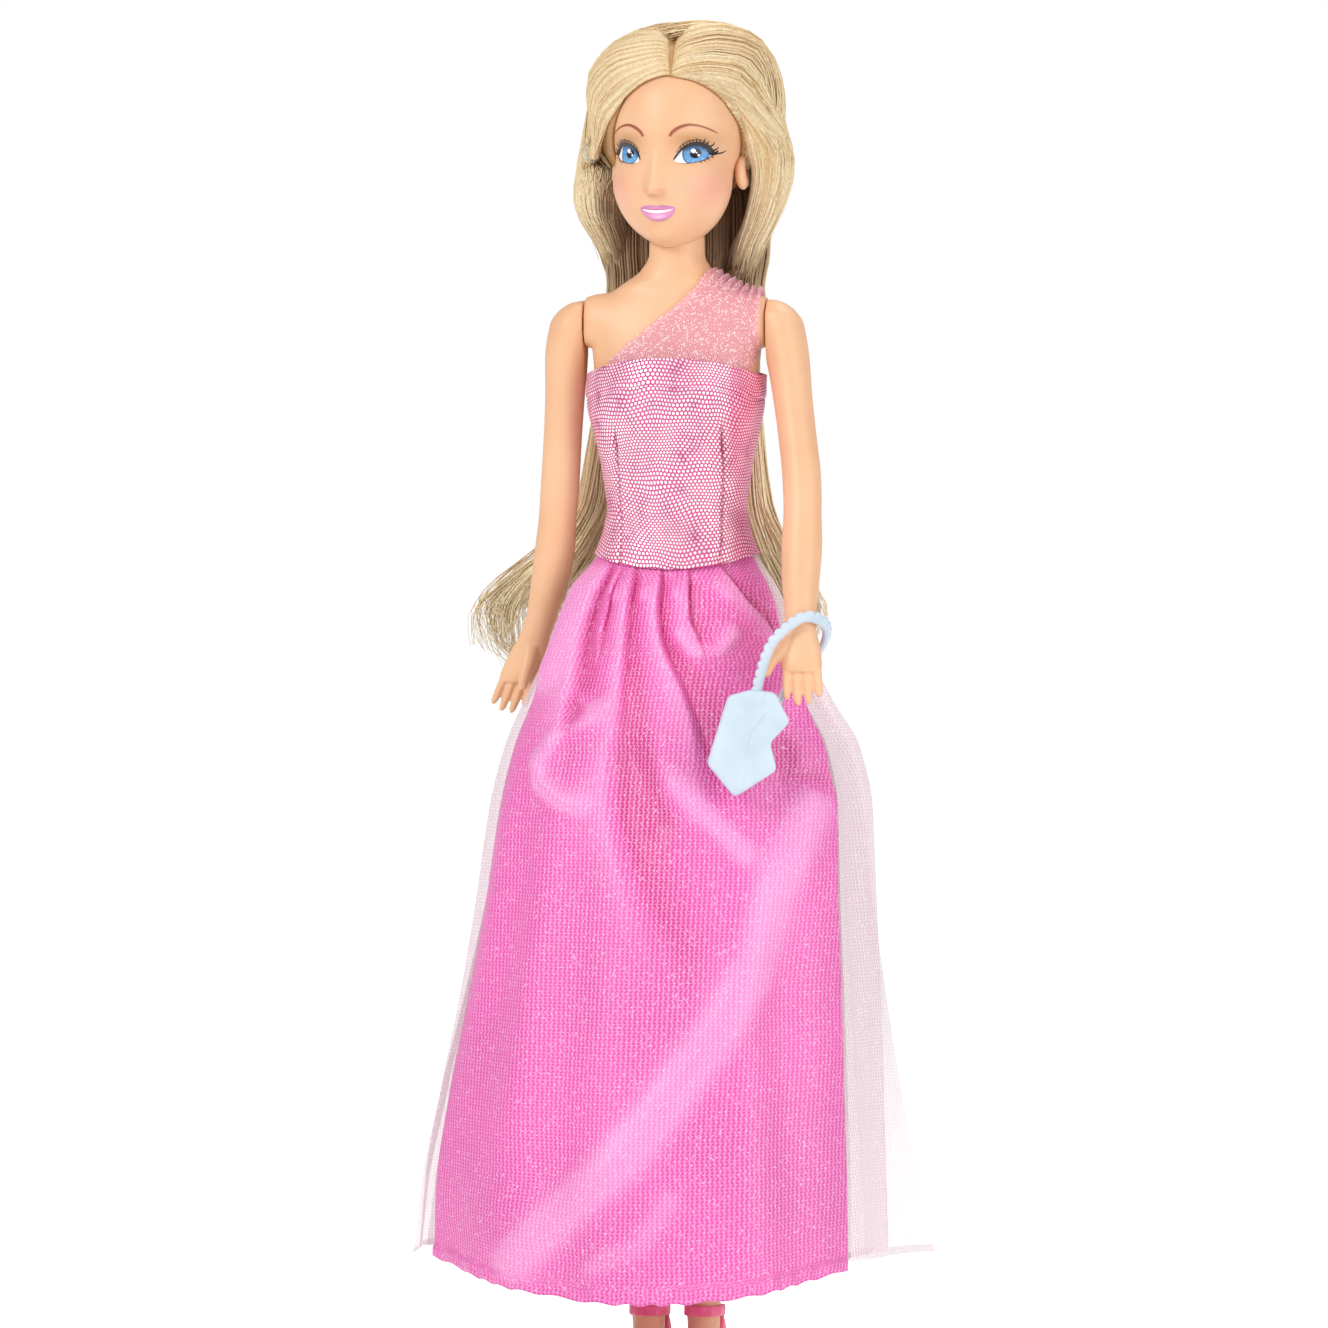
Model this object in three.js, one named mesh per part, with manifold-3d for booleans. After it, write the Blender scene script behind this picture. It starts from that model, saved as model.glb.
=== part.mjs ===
import * as THREE from 'three';
import { mergeVertices } from 'three/addons/utils/BufferGeometryUtils.js';
import Module from 'manifold-3d';

// Fashion doll in a long gown, millimetres, +Z up. The doll stands on the floor at z = 0,
// looks along -Y and has its left side at +X.

const wasm = await Module();
wasm.setup();
const { Manifold, Mesh: SolidMesh } = wasm;

// Fits shared by all pieces
const CLEARANCE = 0.3;
const SEAM = 0.2;
const OVERRUN = 40;
const CLOTH = 0.6;
const FACET_TOLERANCE = 0.1;
const WELD_DISTANCE = 0.0001;

// From the doll's own axis to the origin, which lies below the middle of the whole box
const ORIGIN_SHIFT_X = 1.4;
const ORIGIN_SHIFT_Y = -1.8;

// Facets round and along the soft shapes
const SKIN_COLUMNS = 26;
const SKIN_ROWS = 22;
const CROWN_COLUMNS = 32;
const CROWN_ROWS = 7;
const SCALP_COLUMNS = 22;
const SCALP_ROWS = 13;
const CAVITY_COLUMNS = 12;
const CAVITY_ROWS = 10;
const TORSO_SIDES = 18;
const ARM_SIDES = 14;
const LEG_SIDES = 12;
const FALL_SIDES = 20;
const LOCK_SIDES = 14;
const TWIST_SIDES = 12;
const FINGER_SIDES = 6;
const THUMB_SIDES = 8;
const HEEL_SIDES = 12;
const BODICE_COLUMNS = 26;
const BODICE_ROWS = 6;
const PANEL_COLUMNS = 33;
const PANEL_ROWS = 9;
const TULLE_COLUMNS = 40;
const OVERLAY_COLUMNS = 26;
const TULLE_ROWS = 7;

// Torso
const HIP_Z = 150;
const TORSO_BASE_DROP = 2;
const TORSO_BASE_Z = HIP_Z - TORSO_BASE_DROP;
const TORSO_HEIGHT = 100;
const TORSO_HALF_WIDTH = 20;
const TORSO_HALF_DEPTH = 10;
const TORSO_WALL = 1.8;
const NECK_TOP_SHARE = 1.015;
const NECK_TOP_Z = TORSO_BASE_Z + TORSO_HEIGHT * NECK_TOP_SHARE;
const NECK_RADIUS = 5.8;
const NECK_STEP_DROP = 1.9;
const NECK_STEP_Z = NECK_TOP_Z - NECK_STEP_DROP;
const NECK_TOP_RADIUS = 4.8;
const WEB_THICKNESS = 2.5;
const WEB_RADIUS = 8.5;

// Shoulders
const SHOULDER_SHARE = 0.815;
const SHOULDER_Z = TORSO_BASE_Z + TORSO_HEIGHT * SHOULDER_SHARE;
const SHOULDER_RADIUS = 6;
const SHOULDER_HALF_SPAN = 19.3;
const PEG_RADIUS = 3;
const PEG_FLANGE_RADIUS = 4.4;
const PEG_FLANGE_THICKNESS = 1.4;
const RUNNING_CLEARANCE = 0.25;

// Neck plug
const PLUG_STEM_RADIUS = 2.6;
const PLUG_FLANGE_RADIUS = 6.2;
const PLUG_FLANGE_LIFT = 4.5;
const PLUG_FLANGE_THICKNESS = 2.4;
const PLUG_FOOT_RADIUS = 4;
const PLUG_FOOT_THICKNESS = 1.4;
const PLUG_FOOT_DROP = 9.9;
const PLUG_FOOT_Z = NECK_TOP_Z - PLUG_FOOT_DROP;

// Head, its own middle and half sizes
const HEAD_LIFT = 16.5;
const HEAD_Z = NECK_TOP_Z + HEAD_LIFT;
const HEAD_HALF_WIDTH = 14.2;
const HEAD_HALF_DEPTH = 17.5;
const HEAD_HALF_HEIGHT = 17.8;
const HEAD_WALL = 2.4;
const HEAD_YAW_DEGREES = -9;

// Arms
const ARM_LENGTH = 84;
const ARM_HALF_WIDTH = 4.2;
const FINGER_HALF_WIDTH = 1;
const LEFT_ARM_SWING_DEGREES = 17;
const RIGHT_ARM_SWING_DEGREES = -5;

// Legs
const HIP_HALF_SPREAD = 10;
const HIP_BALL_RADIUS = 8.4;
const LEG_HALF_WIDTH = 8;
const LEG_FOLD_DEGREES = 43;
const LEG_SWING_DEGREES = 13;
const AXLE_RADIUS = 1.6;
const CAP_RADIUS = 3.2;
const CAP_THICKNESS = 2.2;
const CAP_OUTER_X = 17.6;
const AXLE_IN_CAP = 1.3;

// Shoes
const SHOE_WALL = 0.9;
const SHOE_CLEARANCE = 0.25;
const SOLE_THICKNESS = 2.4;
const SHOE_LENGTH = 29;
const SHOE_HALF_WIDTH = 4.9;
const HEEL_TIP_RADIUS = 1.5;
const HEEL_SEAT_RADIUS = 3.3;
const STRAP_HEIGHT = 2.2;
const STRAP_Z = 19.7;

// Hair
const SCALP_GAP = 0.5;
const HAIR_TOP_THICKNESS = 3.2;
const HAIR_EDGE_THICKNESS = 0.9;
const HAIR_LEFT_THICKNESS = 6.6;
const HAIR_RIGHT_THICKNESS = 4;
const PART_DEPTH = 0.8;
const SIDE_HAIR_RISE = 15;
const SIDE_HAIR_TOP_Z = HEAD_Z + SIDE_HAIR_RISE;
const SIDE_HAIR_LENGTH = 41.2;
const SIDE_HAIR_HALF_WIDTH = 7;
const FALL_TOP_Z = HEAD_Z;
const FALL_LENGTH = 110;
const FALL_HALF_WIDTH = 20;
const FALL_HALF_DEPTH = 4;
const TWIST_RADIUS = 1.9;
const ELASTIC_RADIUS = 0.45;

// Gown
const BODICE_BOTTOM_SHARE = 0.305;
const BODICE_BOTTOM_Z = TORSO_BASE_Z + TORSO_HEIGHT * BODICE_BOTTOM_SHARE;
const BODICE_SHARE = 0.41;
const BODICE_HEIGHT = TORSO_HEIGHT * BODICE_SHARE;
const BODICE_HALF_WIDTH = 18.6;
const BODICE_HALF_DEPTH = 12;
const FASTENER_THICKNESS = 0.6;
const FASTENER_WIDTH = 7;
const FASTENER_INSET = 2.5;
const DRAPE_GAP = 0.5;
const SKIRT_TOP_Z = BODICE_BOTTOM_Z - CLEARANCE;
const SKIRT_LENGTH = 154;
const SKIRT_HALF_WIDTH = 50;
const SKIRT_HALF_DEPTH = 41;
const SIDE_HEM_RISE = 8;
const PLEAT_DEPTH = 1.5;
const TULLE_PLEAT_DEPTH = 2;
const OVERLAY_GAP = 0.6;
const OVERLAY_FLARE = 9;
const TULLE_FLARE = 5;

// Purse
const BAG_WIDTH = 17.3;
const BAG_HEIGHT = 22;
const BAG_THICKNESS = 4.2;
const BAG_BEVEL = 0.7;
const STRAP_HALF_WIDTH = 0.95;
const STRAP_HALF_THICKNESS = 0.76;
const STRAP_REACH = 17;
const STRAP_DROP_SHARE = 0.2024;
const BAG_INWARD = 18.418;
const BAG_FORWARD = 8.444;
const BAG_STRAP_OVERLAP = 3.08;

const FULL_TURN = Math.PI * 2;
const toRadians = THREE.MathUtils.degToRad;
const toDegrees = THREE.MathUtils.radToDeg;
const lerp = THREE.MathUtils.lerp;

// Solids

function toSolid(geometry) {
  const bare = geometry.clone();
  bare.deleteAttribute('normal');
  bare.deleteAttribute('uv');
  const merged = mergeVertices(bare, WELD_DISTANCE);
  return new Manifold(new SolidMesh({
    numProp: 3,
    vertProperties: new Float32Array(merged.attributes.position.array),
    triVerts: new Uint32Array(merged.index.array),
  }));
}

function signedVolume(points, faces) {
  const cross = new THREE.Vector3();
  let volume = 0;
  for (let i = 0; i < faces.length; i += 3) {
    cross.crossVectors(points[faces[i + 1]], points[faces[i + 2]]);
    volume += points[faces[i]].dot(cross);
  }
  return volume;
}

function solidFromFaces(points, faces) {
  const outward = signedVolume(points, faces) > 0 ? faces : faces.slice().reverse();
  const geometry = new THREE.BufferGeometry().setFromPoints(points);
  geometry.setIndex(outward);
  return toSolid(geometry);
}

// Joins rings of equal count into one closed body, with a fan over each end.
function joinRings(rings) {
  const count = rings[0].length;
  const points = rings.flat();
  const faces = [];
  for (let row = 0; row + 1 < rings.length; row += 1) {
    for (let i = 0; i < count; i += 1) {
      const next = (i + 1) % count;
      const a = row * count + i;
      const b = row * count + next;
      faces.push(a, b, a + count, b, b + count, a + count);
    }
  }
  addFan(points, faces, 0, count, true);
  addFan(points, faces, (rings.length - 1) * count, count, false);
  return solidFromFaces(points, faces);
}

function addFan(points, faces, start, count, reversed) {
  const middle = new THREE.Vector3();
  for (let i = 0; i < count; i += 1) {
    middle.add(points[start + i]);
  }
  points.push(middle.divideScalar(count));
  const tip = points.length - 1;
  for (let i = 0; i < count; i += 1) {
    const a = start + i;
    const b = start + (i + 1) % count;
    if (reversed) faces.push(b, a, tip);
    else faces.push(a, b, tip);
  }
}

// A sheet between an outer and an inner surface, both functions of u and v from 0 to 1.
function sheetSolid(outer, inner, columns, rows) {
  const points = [];
  const width = columns + 1;
  for (const surface of [outer, inner]) {
    for (let row = 0; row <= rows; row += 1) {
      for (let column = 0; column <= columns; column += 1) {
        points.push(surface(column / columns, row / rows));
      }
    }
  }
  const layer = width * (rows + 1);
  const faces = [];
  const quad = (a, b, c, d) => faces.push(a, b, c, a, c, d);
  for (let row = 0; row < rows; row += 1) {
    for (let column = 0; column < columns; column += 1) {
      const a = row * width + column;
      quad(a, a + 1, a + width + 1, a + width);
      quad(layer + a, layer + a + width, layer + a + width + 1, layer + a + 1);
    }
  }
  for (let column = 0; column < columns; column += 1) {
    const last = rows * width + column;
    quad(column + 1, column, layer + column, layer + column + 1);
    quad(last, last + 1, layer + last + 1, layer + last);
  }
  for (let row = 0; row < rows; row += 1) {
    const first = row * width;
    const last = first + columns;
    quad(first, first + width, layer + first + width, layer + first);
    quad(last + width, last, layer + last, layer + last + width);
  }
  return solidFromFaces(points, faces);
}

// An oval ring in a level plane, with its own depth in front and behind.
function levelRing(x, y, z, halfWidth, front, back, count, fullness) {
  const ring = [];
  for (let i = 0; i < count; i += 1) {
    const angle = FULL_TURN * i / count;
    const c = Math.cos(angle);
    const s = Math.sin(angle);
    const across = Math.sign(c) * Math.abs(c) ** (2 / fullness);
    const along = Math.sign(s) * Math.abs(s) ** (2 / fullness);
    ring.push(new THREE.Vector3(
      x + halfWidth * across,
      y + (s < 0 ? front : back) * along,
      z,
    ));
  }
  return ring;
}

// A limb: an oval section carried along a path, each station {x, y, z, w, d}.
function limb(stations, count) {
  const centres = stations.map((s) => new THREE.Vector3(s.x, s.y, s.z));
  const rings = stations.map((station, i) => {
    const ahead = centres[Math.min(i + 1, centres.length - 1)];
    const behind = centres[Math.max(i - 1, 0)];
    const along = ahead.clone().sub(behind).setX(0).normalize();
    const normal = new THREE.Vector3(1, 0, 0).cross(along);
    const ring = [];
    for (let k = 0; k < count; k += 1) {
      const angle = FULL_TURN * k / count;
      const point = centres[i].clone();
      point.x += station.w * Math.cos(angle);
      ring.push(point.addScaledVector(normal, station.d * Math.sin(angle)));
    }
    return ring;
  });
  return joinRings(rings);
}

function boxSolid(low, high) {
  const geometry = new THREE.BoxGeometry(high[0] - low[0], high[1] - low[1], high[2] - low[2]);
  geometry.translate((low[0] + high[0]) / 2, (low[1] + high[1]) / 2, (low[2] + high[2]) / 2);
  return toSolid(geometry);
}

function ballSolid(centre, radii, columns = 14, rows = 10) {
  const geometry = new THREE.SphereGeometry(1, columns, rows);
  geometry.rotateX(Math.PI / 2);
  geometry.scale(radii[0], radii[1], radii[2]);
  geometry.translate(centre[0], centre[1], centre[2]);
  return toSolid(geometry);
}

// A round bar along X from one place to another.
function crossBar(fromX, toX, y, z, radius, count = 16) {
  const geometry = new THREE.CylinderGeometry(radius, radius, Math.abs(toX - fromX), count);
  geometry.rotateZ(Math.PI / 2);
  geometry.translate((fromX + toX) / 2, y, z);
  return toSolid(geometry);
}

// A round post along Z from one height to another.
function post(x, y, fromZ, toZ, bottomRadius, topRadius, count = 16) {
  const geometry = new THREE.CylinderGeometry(topRadius, bottomRadius, toZ - fromZ, count);
  geometry.rotateX(Math.PI / 2);
  geometry.translate(x, y, (fromZ + toZ) / 2);
  return toSolid(geometry);
}

function joinAll(solids) {
  return Manifold.union(solids);
}

// Turns a solid about an axis along X or Z through a point.
function turned(solid, axis, degrees, pivot) {
  const angles = axis === 'x' ? [degrees, 0, 0] : [0, 0, degrees];
  return solid.translate(pivot.map((value) => -value)).rotate(angles).translate(pivot);
}

// Reads a table of shares at one place, straight between its rows.
function readShares(table, place) {
  let row = 0;
  while (row < table.length - 2 && table[row + 1][0] < place) row += 1;
  const low = table[row];
  const high = table[row + 1];
  const mix = THREE.MathUtils.clamp((place - low[0]) / (high[0] - low[0]), 0, 1);
  return low.slice(1).map((value, i) => lerp(value, high[i + 1], mix));
}

// Torso: shares of its height, half width, and depth in front and behind.
const torsoShares = [
  [0.00, 0.72, 0.80, 1.00],
  [0.08, 0.93, 1.00, 1.25],
  [0.16, 0.94, 1.05, 1.30],
  [0.24, 0.85, 0.98, 1.15],
  [0.32, 0.71, 0.90, 0.92],
  [0.41, 0.62, 0.88, 0.78],
  [0.49, 0.66, 0.95, 0.80],
  [0.58, 0.76, 1.25, 0.85],
  [0.65, 0.85, 1.50, 0.90],
  [0.72, 0.88, 1.28, 0.92],
  [0.79, 0.91, 0.96, 0.88],
  [0.85, 0.86, 0.74, 0.76],
  [0.89, 0.60, 0.62, 0.66],
  [0.92, 0.38, 0.57, 0.60],
];
const CAVITY_BOTTOM_SHARE = 0.16;
const CAVITY_TOP_SHARE = 0.89;
const TORSO_FULLNESS = 2.3;

function torsoLoft(shrink, fromShare, toShare) {
  const rings = [];
  for (const [height, width, front, back] of torsoShares) {
    if (height < fromShare || height > toShare) continue;
    rings.push(levelRing(0, 0, TORSO_BASE_Z + TORSO_HEIGHT * height,
      TORSO_HALF_WIDTH * width - shrink, TORSO_HALF_DEPTH * front - shrink,
      TORSO_HALF_DEPTH * back - shrink, TORSO_SIDES, TORSO_FULLNESS));
  }
  return rings;
}

function neckRings() {
  const steps = [
    [NECK_TOP_Z - NECK_RADIUS, NECK_RADIUS],
    [NECK_STEP_Z, NECK_RADIUS],
    [NECK_STEP_Z, NECK_TOP_RADIUS],
    [NECK_TOP_Z, NECK_TOP_RADIUS],
  ];
  return steps.map(([z, radius]) => levelRing(0, 0, z, radius, radius, radius, TORSO_SIDES, 2));
}

// The room that one leg sweeps through, from behind to folded forward.
function legSweep(side) {
  const x = side * HIP_HALF_SPREAD;
  const radius = HIP_BALL_RADIUS + 2 * CLEARANCE;
  const parts = [ballSolid([x, 0, HIP_Z], [radius, radius, radius])];
  const first = -LEG_SWING_DEGREES;
  const last = LEG_FOLD_DEGREES + LEG_SWING_DEGREES;
  const stops = 3;
  const thigh = post(x, 0, HIP_Z - OVERRUN, HIP_Z, radius, radius);
  for (let i = 0; i <= stops; i += 1) {
    const angle = lerp(first, last, i / stops);
    parts.push(turned(thigh, 'x', -angle, [x, 0, HIP_Z]));
  }
  const inner = side * (WEB_THICKNESS / 2);
  const outer = side * OVERRUN;
  const room = boxSolid(
    [Math.min(inner, outer), -OVERRUN, HIP_Z - OVERRUN],
    [Math.max(inner, outer), OVERRUN, HIP_Z + OVERRUN],
  );
  return joinAll(parts).intersect(room);
}

function torsoSolid() {
  const outside = joinRings([...torsoLoft(0, 0, 1), ...neckRings()]);
  const shoulders = crossBar(-SHOULDER_HALF_SPAN, SHOULDER_HALF_SPAN, 0, SHOULDER_Z, SHOULDER_RADIUS);
  const web = crossBar(-WEB_THICKNESS / 2, WEB_THICKNESS / 2, 0, HIP_Z, WEB_RADIUS);
  const inside = joinRings(torsoLoft(TORSO_WALL, CAVITY_BOTTOM_SHARE, CAVITY_TOP_SHARE));
  const bores = [inside];
  bores.push(post(0, 0, PLUG_FOOT_Z, NECK_TOP_Z + OVERRUN, PLUG_STEM_RADIUS + SEAM,
    PLUG_STEM_RADIUS + SEAM));
  bores.push(post(0, 0, PLUG_FOOT_Z - PLUG_FOOT_RADIUS, PLUG_FOOT_Z + PLUG_FOOT_THICKNESS + SEAM,
    PLUG_FOOT_RADIUS + SEAM, PLUG_FOOT_RADIUS + SEAM));
  bores.push(crossBar(-OVERRUN, OVERRUN, 0, HIP_Z, AXLE_RADIUS + RUNNING_CLEARANCE));
  const pocketX = SHOULDER_HALF_SPAN - TORSO_WALL;
  const pocketRadius = PEG_FLANGE_RADIUS + RUNNING_CLEARANCE;
  bores.push(crossBar(-pocketX, pocketX, 0, SHOULDER_Z, pocketRadius));
  bores.push(crossBar(-OVERRUN, OVERRUN, 0, SHOULDER_Z, PEG_RADIUS + RUNNING_CLEARANCE));
  return joinAll([outside, shoulders])
    .subtract(legSweep(1))
    .subtract(legSweep(-1))
    .add(web)
    .subtract(joinAll(bores));
}

const torso = torsoSolid();
const frontRoom = boxSolid([-OVERRUN, -OVERRUN, 0], [OVERRUN, -SEAM / 2, NECK_TOP_Z + OVERRUN]);
const backRoom = boxSolid([-OVERRUN, SEAM / 2, 0], [OVERRUN, OVERRUN, NECK_TOP_Z + OVERRUN]);
const torsoFront = torso.intersect(frontRoom);
const torsoBack = torso.intersect(backRoom);

function neckPlug() {
  const flangeZ = NECK_TOP_Z + PLUG_FLANGE_LIFT;
  const foot = post(0, 0, PLUG_FOOT_Z, PLUG_FOOT_Z + PLUG_FOOT_THICKNESS,
    PLUG_FOOT_RADIUS, PLUG_FOOT_RADIUS);
  const stem = post(0, 0, PLUG_FOOT_Z, flangeZ + PLUG_FLANGE_THICKNESS,
    PLUG_STEM_RADIUS, PLUG_STEM_RADIUS);
  const flange = post(0, 0, flangeZ, flangeZ + PLUG_FLANGE_THICKNESS,
    PLUG_FLANGE_RADIUS, PLUG_STEM_RADIUS);
  return joinAll([foot, stem, flange]);
}

// Head: a cranium and a jaw that blend, with features as soft bumps on the front.
const craniumCentreShares = [0, 0.17, 0.253];
const jawCentreShares = [0, -0.17, -0.393];
const jawRadiusShares = [0.873, 0.686, 0.764];
const HEAD_BLEND = 16;
const FRONT_CROWDING = 0.55;

// Each row: x and z of the bump, its reach in x and z, and its height, all shares of half width.
const featureShares = [
  [0, -0.62, 0.115, 0.13, 0.17],
  [0, -0.44, 0.085, 0.24, 0.10],
  [0, -0.26, 0.075, 0.22, 0.05],
  [-0.09, -0.66, 0.07, 0.08, 0.05],
  [0.09, -0.66, 0.07, 0.08, 0.05],
  [0, -0.90, 0.26, 0.06, 0.055],
  [0, -1.00, 0.20, 0.06, 0.055],
  [0, -1.27, 0.24, 0.18, 0.12],
  [-0.55, -0.58, 0.32, 0.26, 0.045],
  [0.55, -0.58, 0.32, 0.26, 0.045],
  [-0.48, -0.08, 0.26, 0.16, -0.065],
  [0.48, -0.08, 0.26, 0.16, -0.065],
];

function rayToOval(direction, centre, radii) {
  let a = 0;
  let b = 0;
  let c = -1;
  ['x', 'y', 'z'].forEach((axis, i) => {
    a += (direction[axis] / radii[i]) ** 2;
    b += direction[axis] * centre[i] / radii[i] ** 2;
    c += (centre[i] / radii[i]) ** 2;
  });
  return (b + Math.sqrt(Math.max(b * b - a * c, 0))) / a;
}

function headRadius(direction) {
  const sizes = [HEAD_HALF_WIDTH, HEAD_HALF_DEPTH, HEAD_HALF_HEIGHT];
  const scaled = (shares) => shares.map((share, i) => share * sizes[i]);
  const cranium = rayToOval(direction, scaled(craniumCentreShares), sizes);
  const jaw = rayToOval(direction, scaled(jawCentreShares), scaled(jawRadiusShares));
  const larger = Math.max(cranium, jaw);
  const blend = (cranium / larger) ** HEAD_BLEND + (jaw / larger) ** HEAD_BLEND;
  const base = larger * blend ** (1 / HEAD_BLEND);
  if (direction.y > 0) return base;
  const x = base * direction.x / HEAD_HALF_WIDTH;
  const z = base * direction.z / HEAD_HALF_WIDTH;
  let bump = 0;
  for (const [atX, atZ, reachX, reachZ, height] of featureShares) {
    bump += height * Math.exp(-(((x - atX) / reachX) ** 2) - ((z - atZ) / reachZ) ** 2);
  }
  return base + bump * HEAD_HALF_WIDTH;
}

function headDirection(around, down) {
  return new THREE.Vector3(
    Math.sin(around) * Math.sin(down),
    -Math.cos(around) * Math.sin(down),
    Math.cos(down),
  );
}

function headPoint(around, down, lift) {
  const direction = headDirection(around, down);
  return direction.multiplyScalar(headRadius(direction) + lift).add(new THREE.Vector3(0, 0, HEAD_Z));
}

// A closed body round the head's middle, lifted off the skin by a function of direction.
function headShape(lift, rows, columns, crowding) {
  const rings = [];
  for (let row = 1; row < rows; row += 1) {
    const down = Math.PI * row / rows;
    const ring = [];
    for (let column = 0; column < columns; column += 1) {
      const share = 2 * column / columns - 1;
      const around = Math.PI * (share * (1 - crowding) + share ** 3 * crowding);
      ring.push(headPoint(around, down, lift(around, down)));
    }
    rings.push(ring);
  }
  return joinRings(rings);
}

const withHead = (solid) => turned(solid, 'z', HEAD_YAW_DEGREES, [0, 0, HEAD_Z]);

const earRadiusShares = [0.11, 0.20, 0.26];
const earPlaceShares = [0.97, 0.20, -0.36];

function earSolids(grow) {
  return [-1, 1].map((side) => ballSolid(
    [
      side * earPlaceShares[0] * HEAD_HALF_WIDTH,
      earPlaceShares[1] * HEAD_HALF_WIDTH,
      HEAD_Z + earPlaceShares[2] * HEAD_HALF_WIDTH,
    ],
    earRadiusShares.map((share) => share * HEAD_HALF_WIDTH + grow), 10, 8,
  ));
}

function headSolid() {
  const skin = headShape(() => 0, SKIN_ROWS, SKIN_COLUMNS, FRONT_CROWDING);
  const cavity = headShape(() => -HEAD_WALL, CAVITY_ROWS, CAVITY_COLUMNS, 0)
    .trimByPlane([0, 0, 1], NECK_TOP_Z + CLEARANCE - SEAM);
  const wide = NECK_RADIUS + CLEARANCE;
  const narrow = NECK_TOP_RADIUS + CLEARANCE;
  const flange = PLUG_FLANGE_RADIUS + CLEARANCE;
  const flangeZ = NECK_TOP_Z + PLUG_FLANGE_LIFT;
  const openings = [
    post(0, 0, TORSO_BASE_Z, NECK_STEP_Z + CLEARANCE, wide, wide),
    post(0, 0, TORSO_BASE_Z, HEAD_Z - HEAD_WALL, narrow, narrow),
    post(0, 0, flangeZ - CLEARANCE, flangeZ + PLUG_FLANGE_THICKNESS + CLEARANCE, flange, flange),
  ];
  return joinAll([skin, ...earSolids(0)]).subtract(joinAll([cavity, ...openings]));
}

// Hair. The hairline is a table of the turn from the front and how far down it lies.
const hairlineShares = [
  [-1.00, 0.75],
  [-0.60, 0.68],
  [-0.45, 0.56],
  [-0.345, 0.455],
  [-0.29, 0.39],
  [-0.17, 0.245],
  [0.00, 0.205],
  [0.17, 0.22],
  [0.345, 0.283],
  [0.50, 0.43],
  [0.56, 0.56],
  [0.70, 0.68],
  [1.00, 0.75],
];
const PART_TURN_SHARE = 0.06;
const PART_REACH_SHARE = 0.03;
const HAIR_FULL_DEGREES = 40;

function crownLift(around, down) {
  const turn = around / Math.PI;
  const edge = Math.PI * readShares(hairlineShares, turn)[0];
  const inward = 1 - Math.min(down / edge, 1) ** 4;
  const rise = Math.min(1, Math.sin(down) / Math.sin(toRadians(HAIR_FULL_DEGREES)));
  const beside = around > 0 ? HAIR_LEFT_THICKNESS : HAIR_RIGHT_THICKNESS;
  const full = HAIR_TOP_THICKNESS - HAIR_EDGE_THICKNESS + beside * Math.sin(around) ** 2 * rise;
  const part = PART_DEPTH * Math.exp(-(((turn - PART_TURN_SHARE) / PART_REACH_SHARE) ** 2));
  return HAIR_EDGE_THICKNESS + (full - part) * inward;
}

// The crown's rings from the top down in the given order of rows, lifted off the head.
function crownRings(lift, rows) {
  return rows.map((row) => {
    const ring = [];
    for (let column = 0; column < CROWN_COLUMNS; column += 1) {
      const turn = 2 * column / CROWN_COLUMNS - 1;
      const around = Math.PI * turn;
      const down = Math.PI * readShares(hairlineShares, turn)[0] * row / CROWN_ROWS;
      ring.push(headPoint(around, down, lift(around, down)));
    }
    return ring;
  });
}

const crownRows = [1 / CROWN_ROWS];
for (let row = 1; row <= CROWN_ROWS; row += 1) {
  crownRows.push(row);
}

function hairCrown() {
  const outside = crownRings(crownLift, crownRows);
  const inside = crownRings(() => SCALP_GAP, crownRows.slice().reverse());
  return joinRings(outside.concat(inside)).subtract(joinAll(earSolids(CLEARANCE)));
}

// Everything that the scalp and its hair fill, for cutting other hair against.
const crownRoomLift = (around, down) => crownLift(around, down) + 3 * CLEARANCE;
const scalpRoom = headShape(crownRoomLift, SCALP_ROWS, SCALP_COLUMNS, 0)
  .add(joinAll(earSolids(CLEARANCE)));
const crownRoom = joinRings(crownRings(crownRoomLift, crownRows));

// Shares of the side hair's length, then its reach outward on the left and on the right,
// its middle in y, half width and half depth.
const sideHairShares = [
  [0.00, 1.65, 1.65, 0.40, 0.35, 0.70],
  [0.12, 2.05, 2.10, 0.45, 0.80, 1.25],
  [0.28, 2.28, 2.42, 0.60, 0.98, 1.38],
  [0.48, 2.42, 2.78, 0.90, 0.93, 1.32],
  [0.68, 2.08, 2.74, 1.25, 0.82, 1.15],
  [0.85, 1.65, 2.50, 1.60, 0.74, 0.90],
  [1.00, 1.25, 2.28, 1.85, 0.66, 0.62],
];

function sideHair(side) {
  const unit = SIDE_HAIR_HALF_WIDTH;
  return joinRings(sideHairShares.map(([down, left, right, y, width, depth]) => levelRing(
    side * (side > 0 ? left : right) * unit, y * unit, SIDE_HAIR_TOP_Z - SIDE_HAIR_LENGTH * down,
    width * unit, depth * unit, depth * unit, LOCK_SIDES, 2,
  )));
}

// Shares of the fall's length, then its middle in x and y, half width and half depth.
const fallShares = [
  [0.00, 0.00, 4.38, 0.70, 1.30],
  [0.06, 0.00, 4.25, 0.82, 1.50],
  [0.13, 0.00, 3.90, 0.88, 1.60],
  [0.20, 0.00, 3.65, 0.88, 1.45],
  [0.26, -0.02, 3.80, 0.84, 1.15],
  [0.33, -0.05, 3.85, 0.84, 1.00],
  [0.42, -0.10, 4.05, 0.86, 0.88],
  [0.56, -0.13, 4.05, 0.93, 0.82],
  [0.68, -0.16, 4.15, 1.03, 0.80],
  [0.77, -0.26, 4.75, 1.32, 0.75],
  [0.84, -0.40, 5.75, 1.68, 0.68],
  [0.90, -0.46, 6.45, 1.90, 0.56],
  [0.96, -0.46, 6.85, 1.86, 0.42],
  [1.00, -0.42, 7.00, 1.62, 0.15],
];

const FALL_FULLNESS = 2.4;

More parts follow.
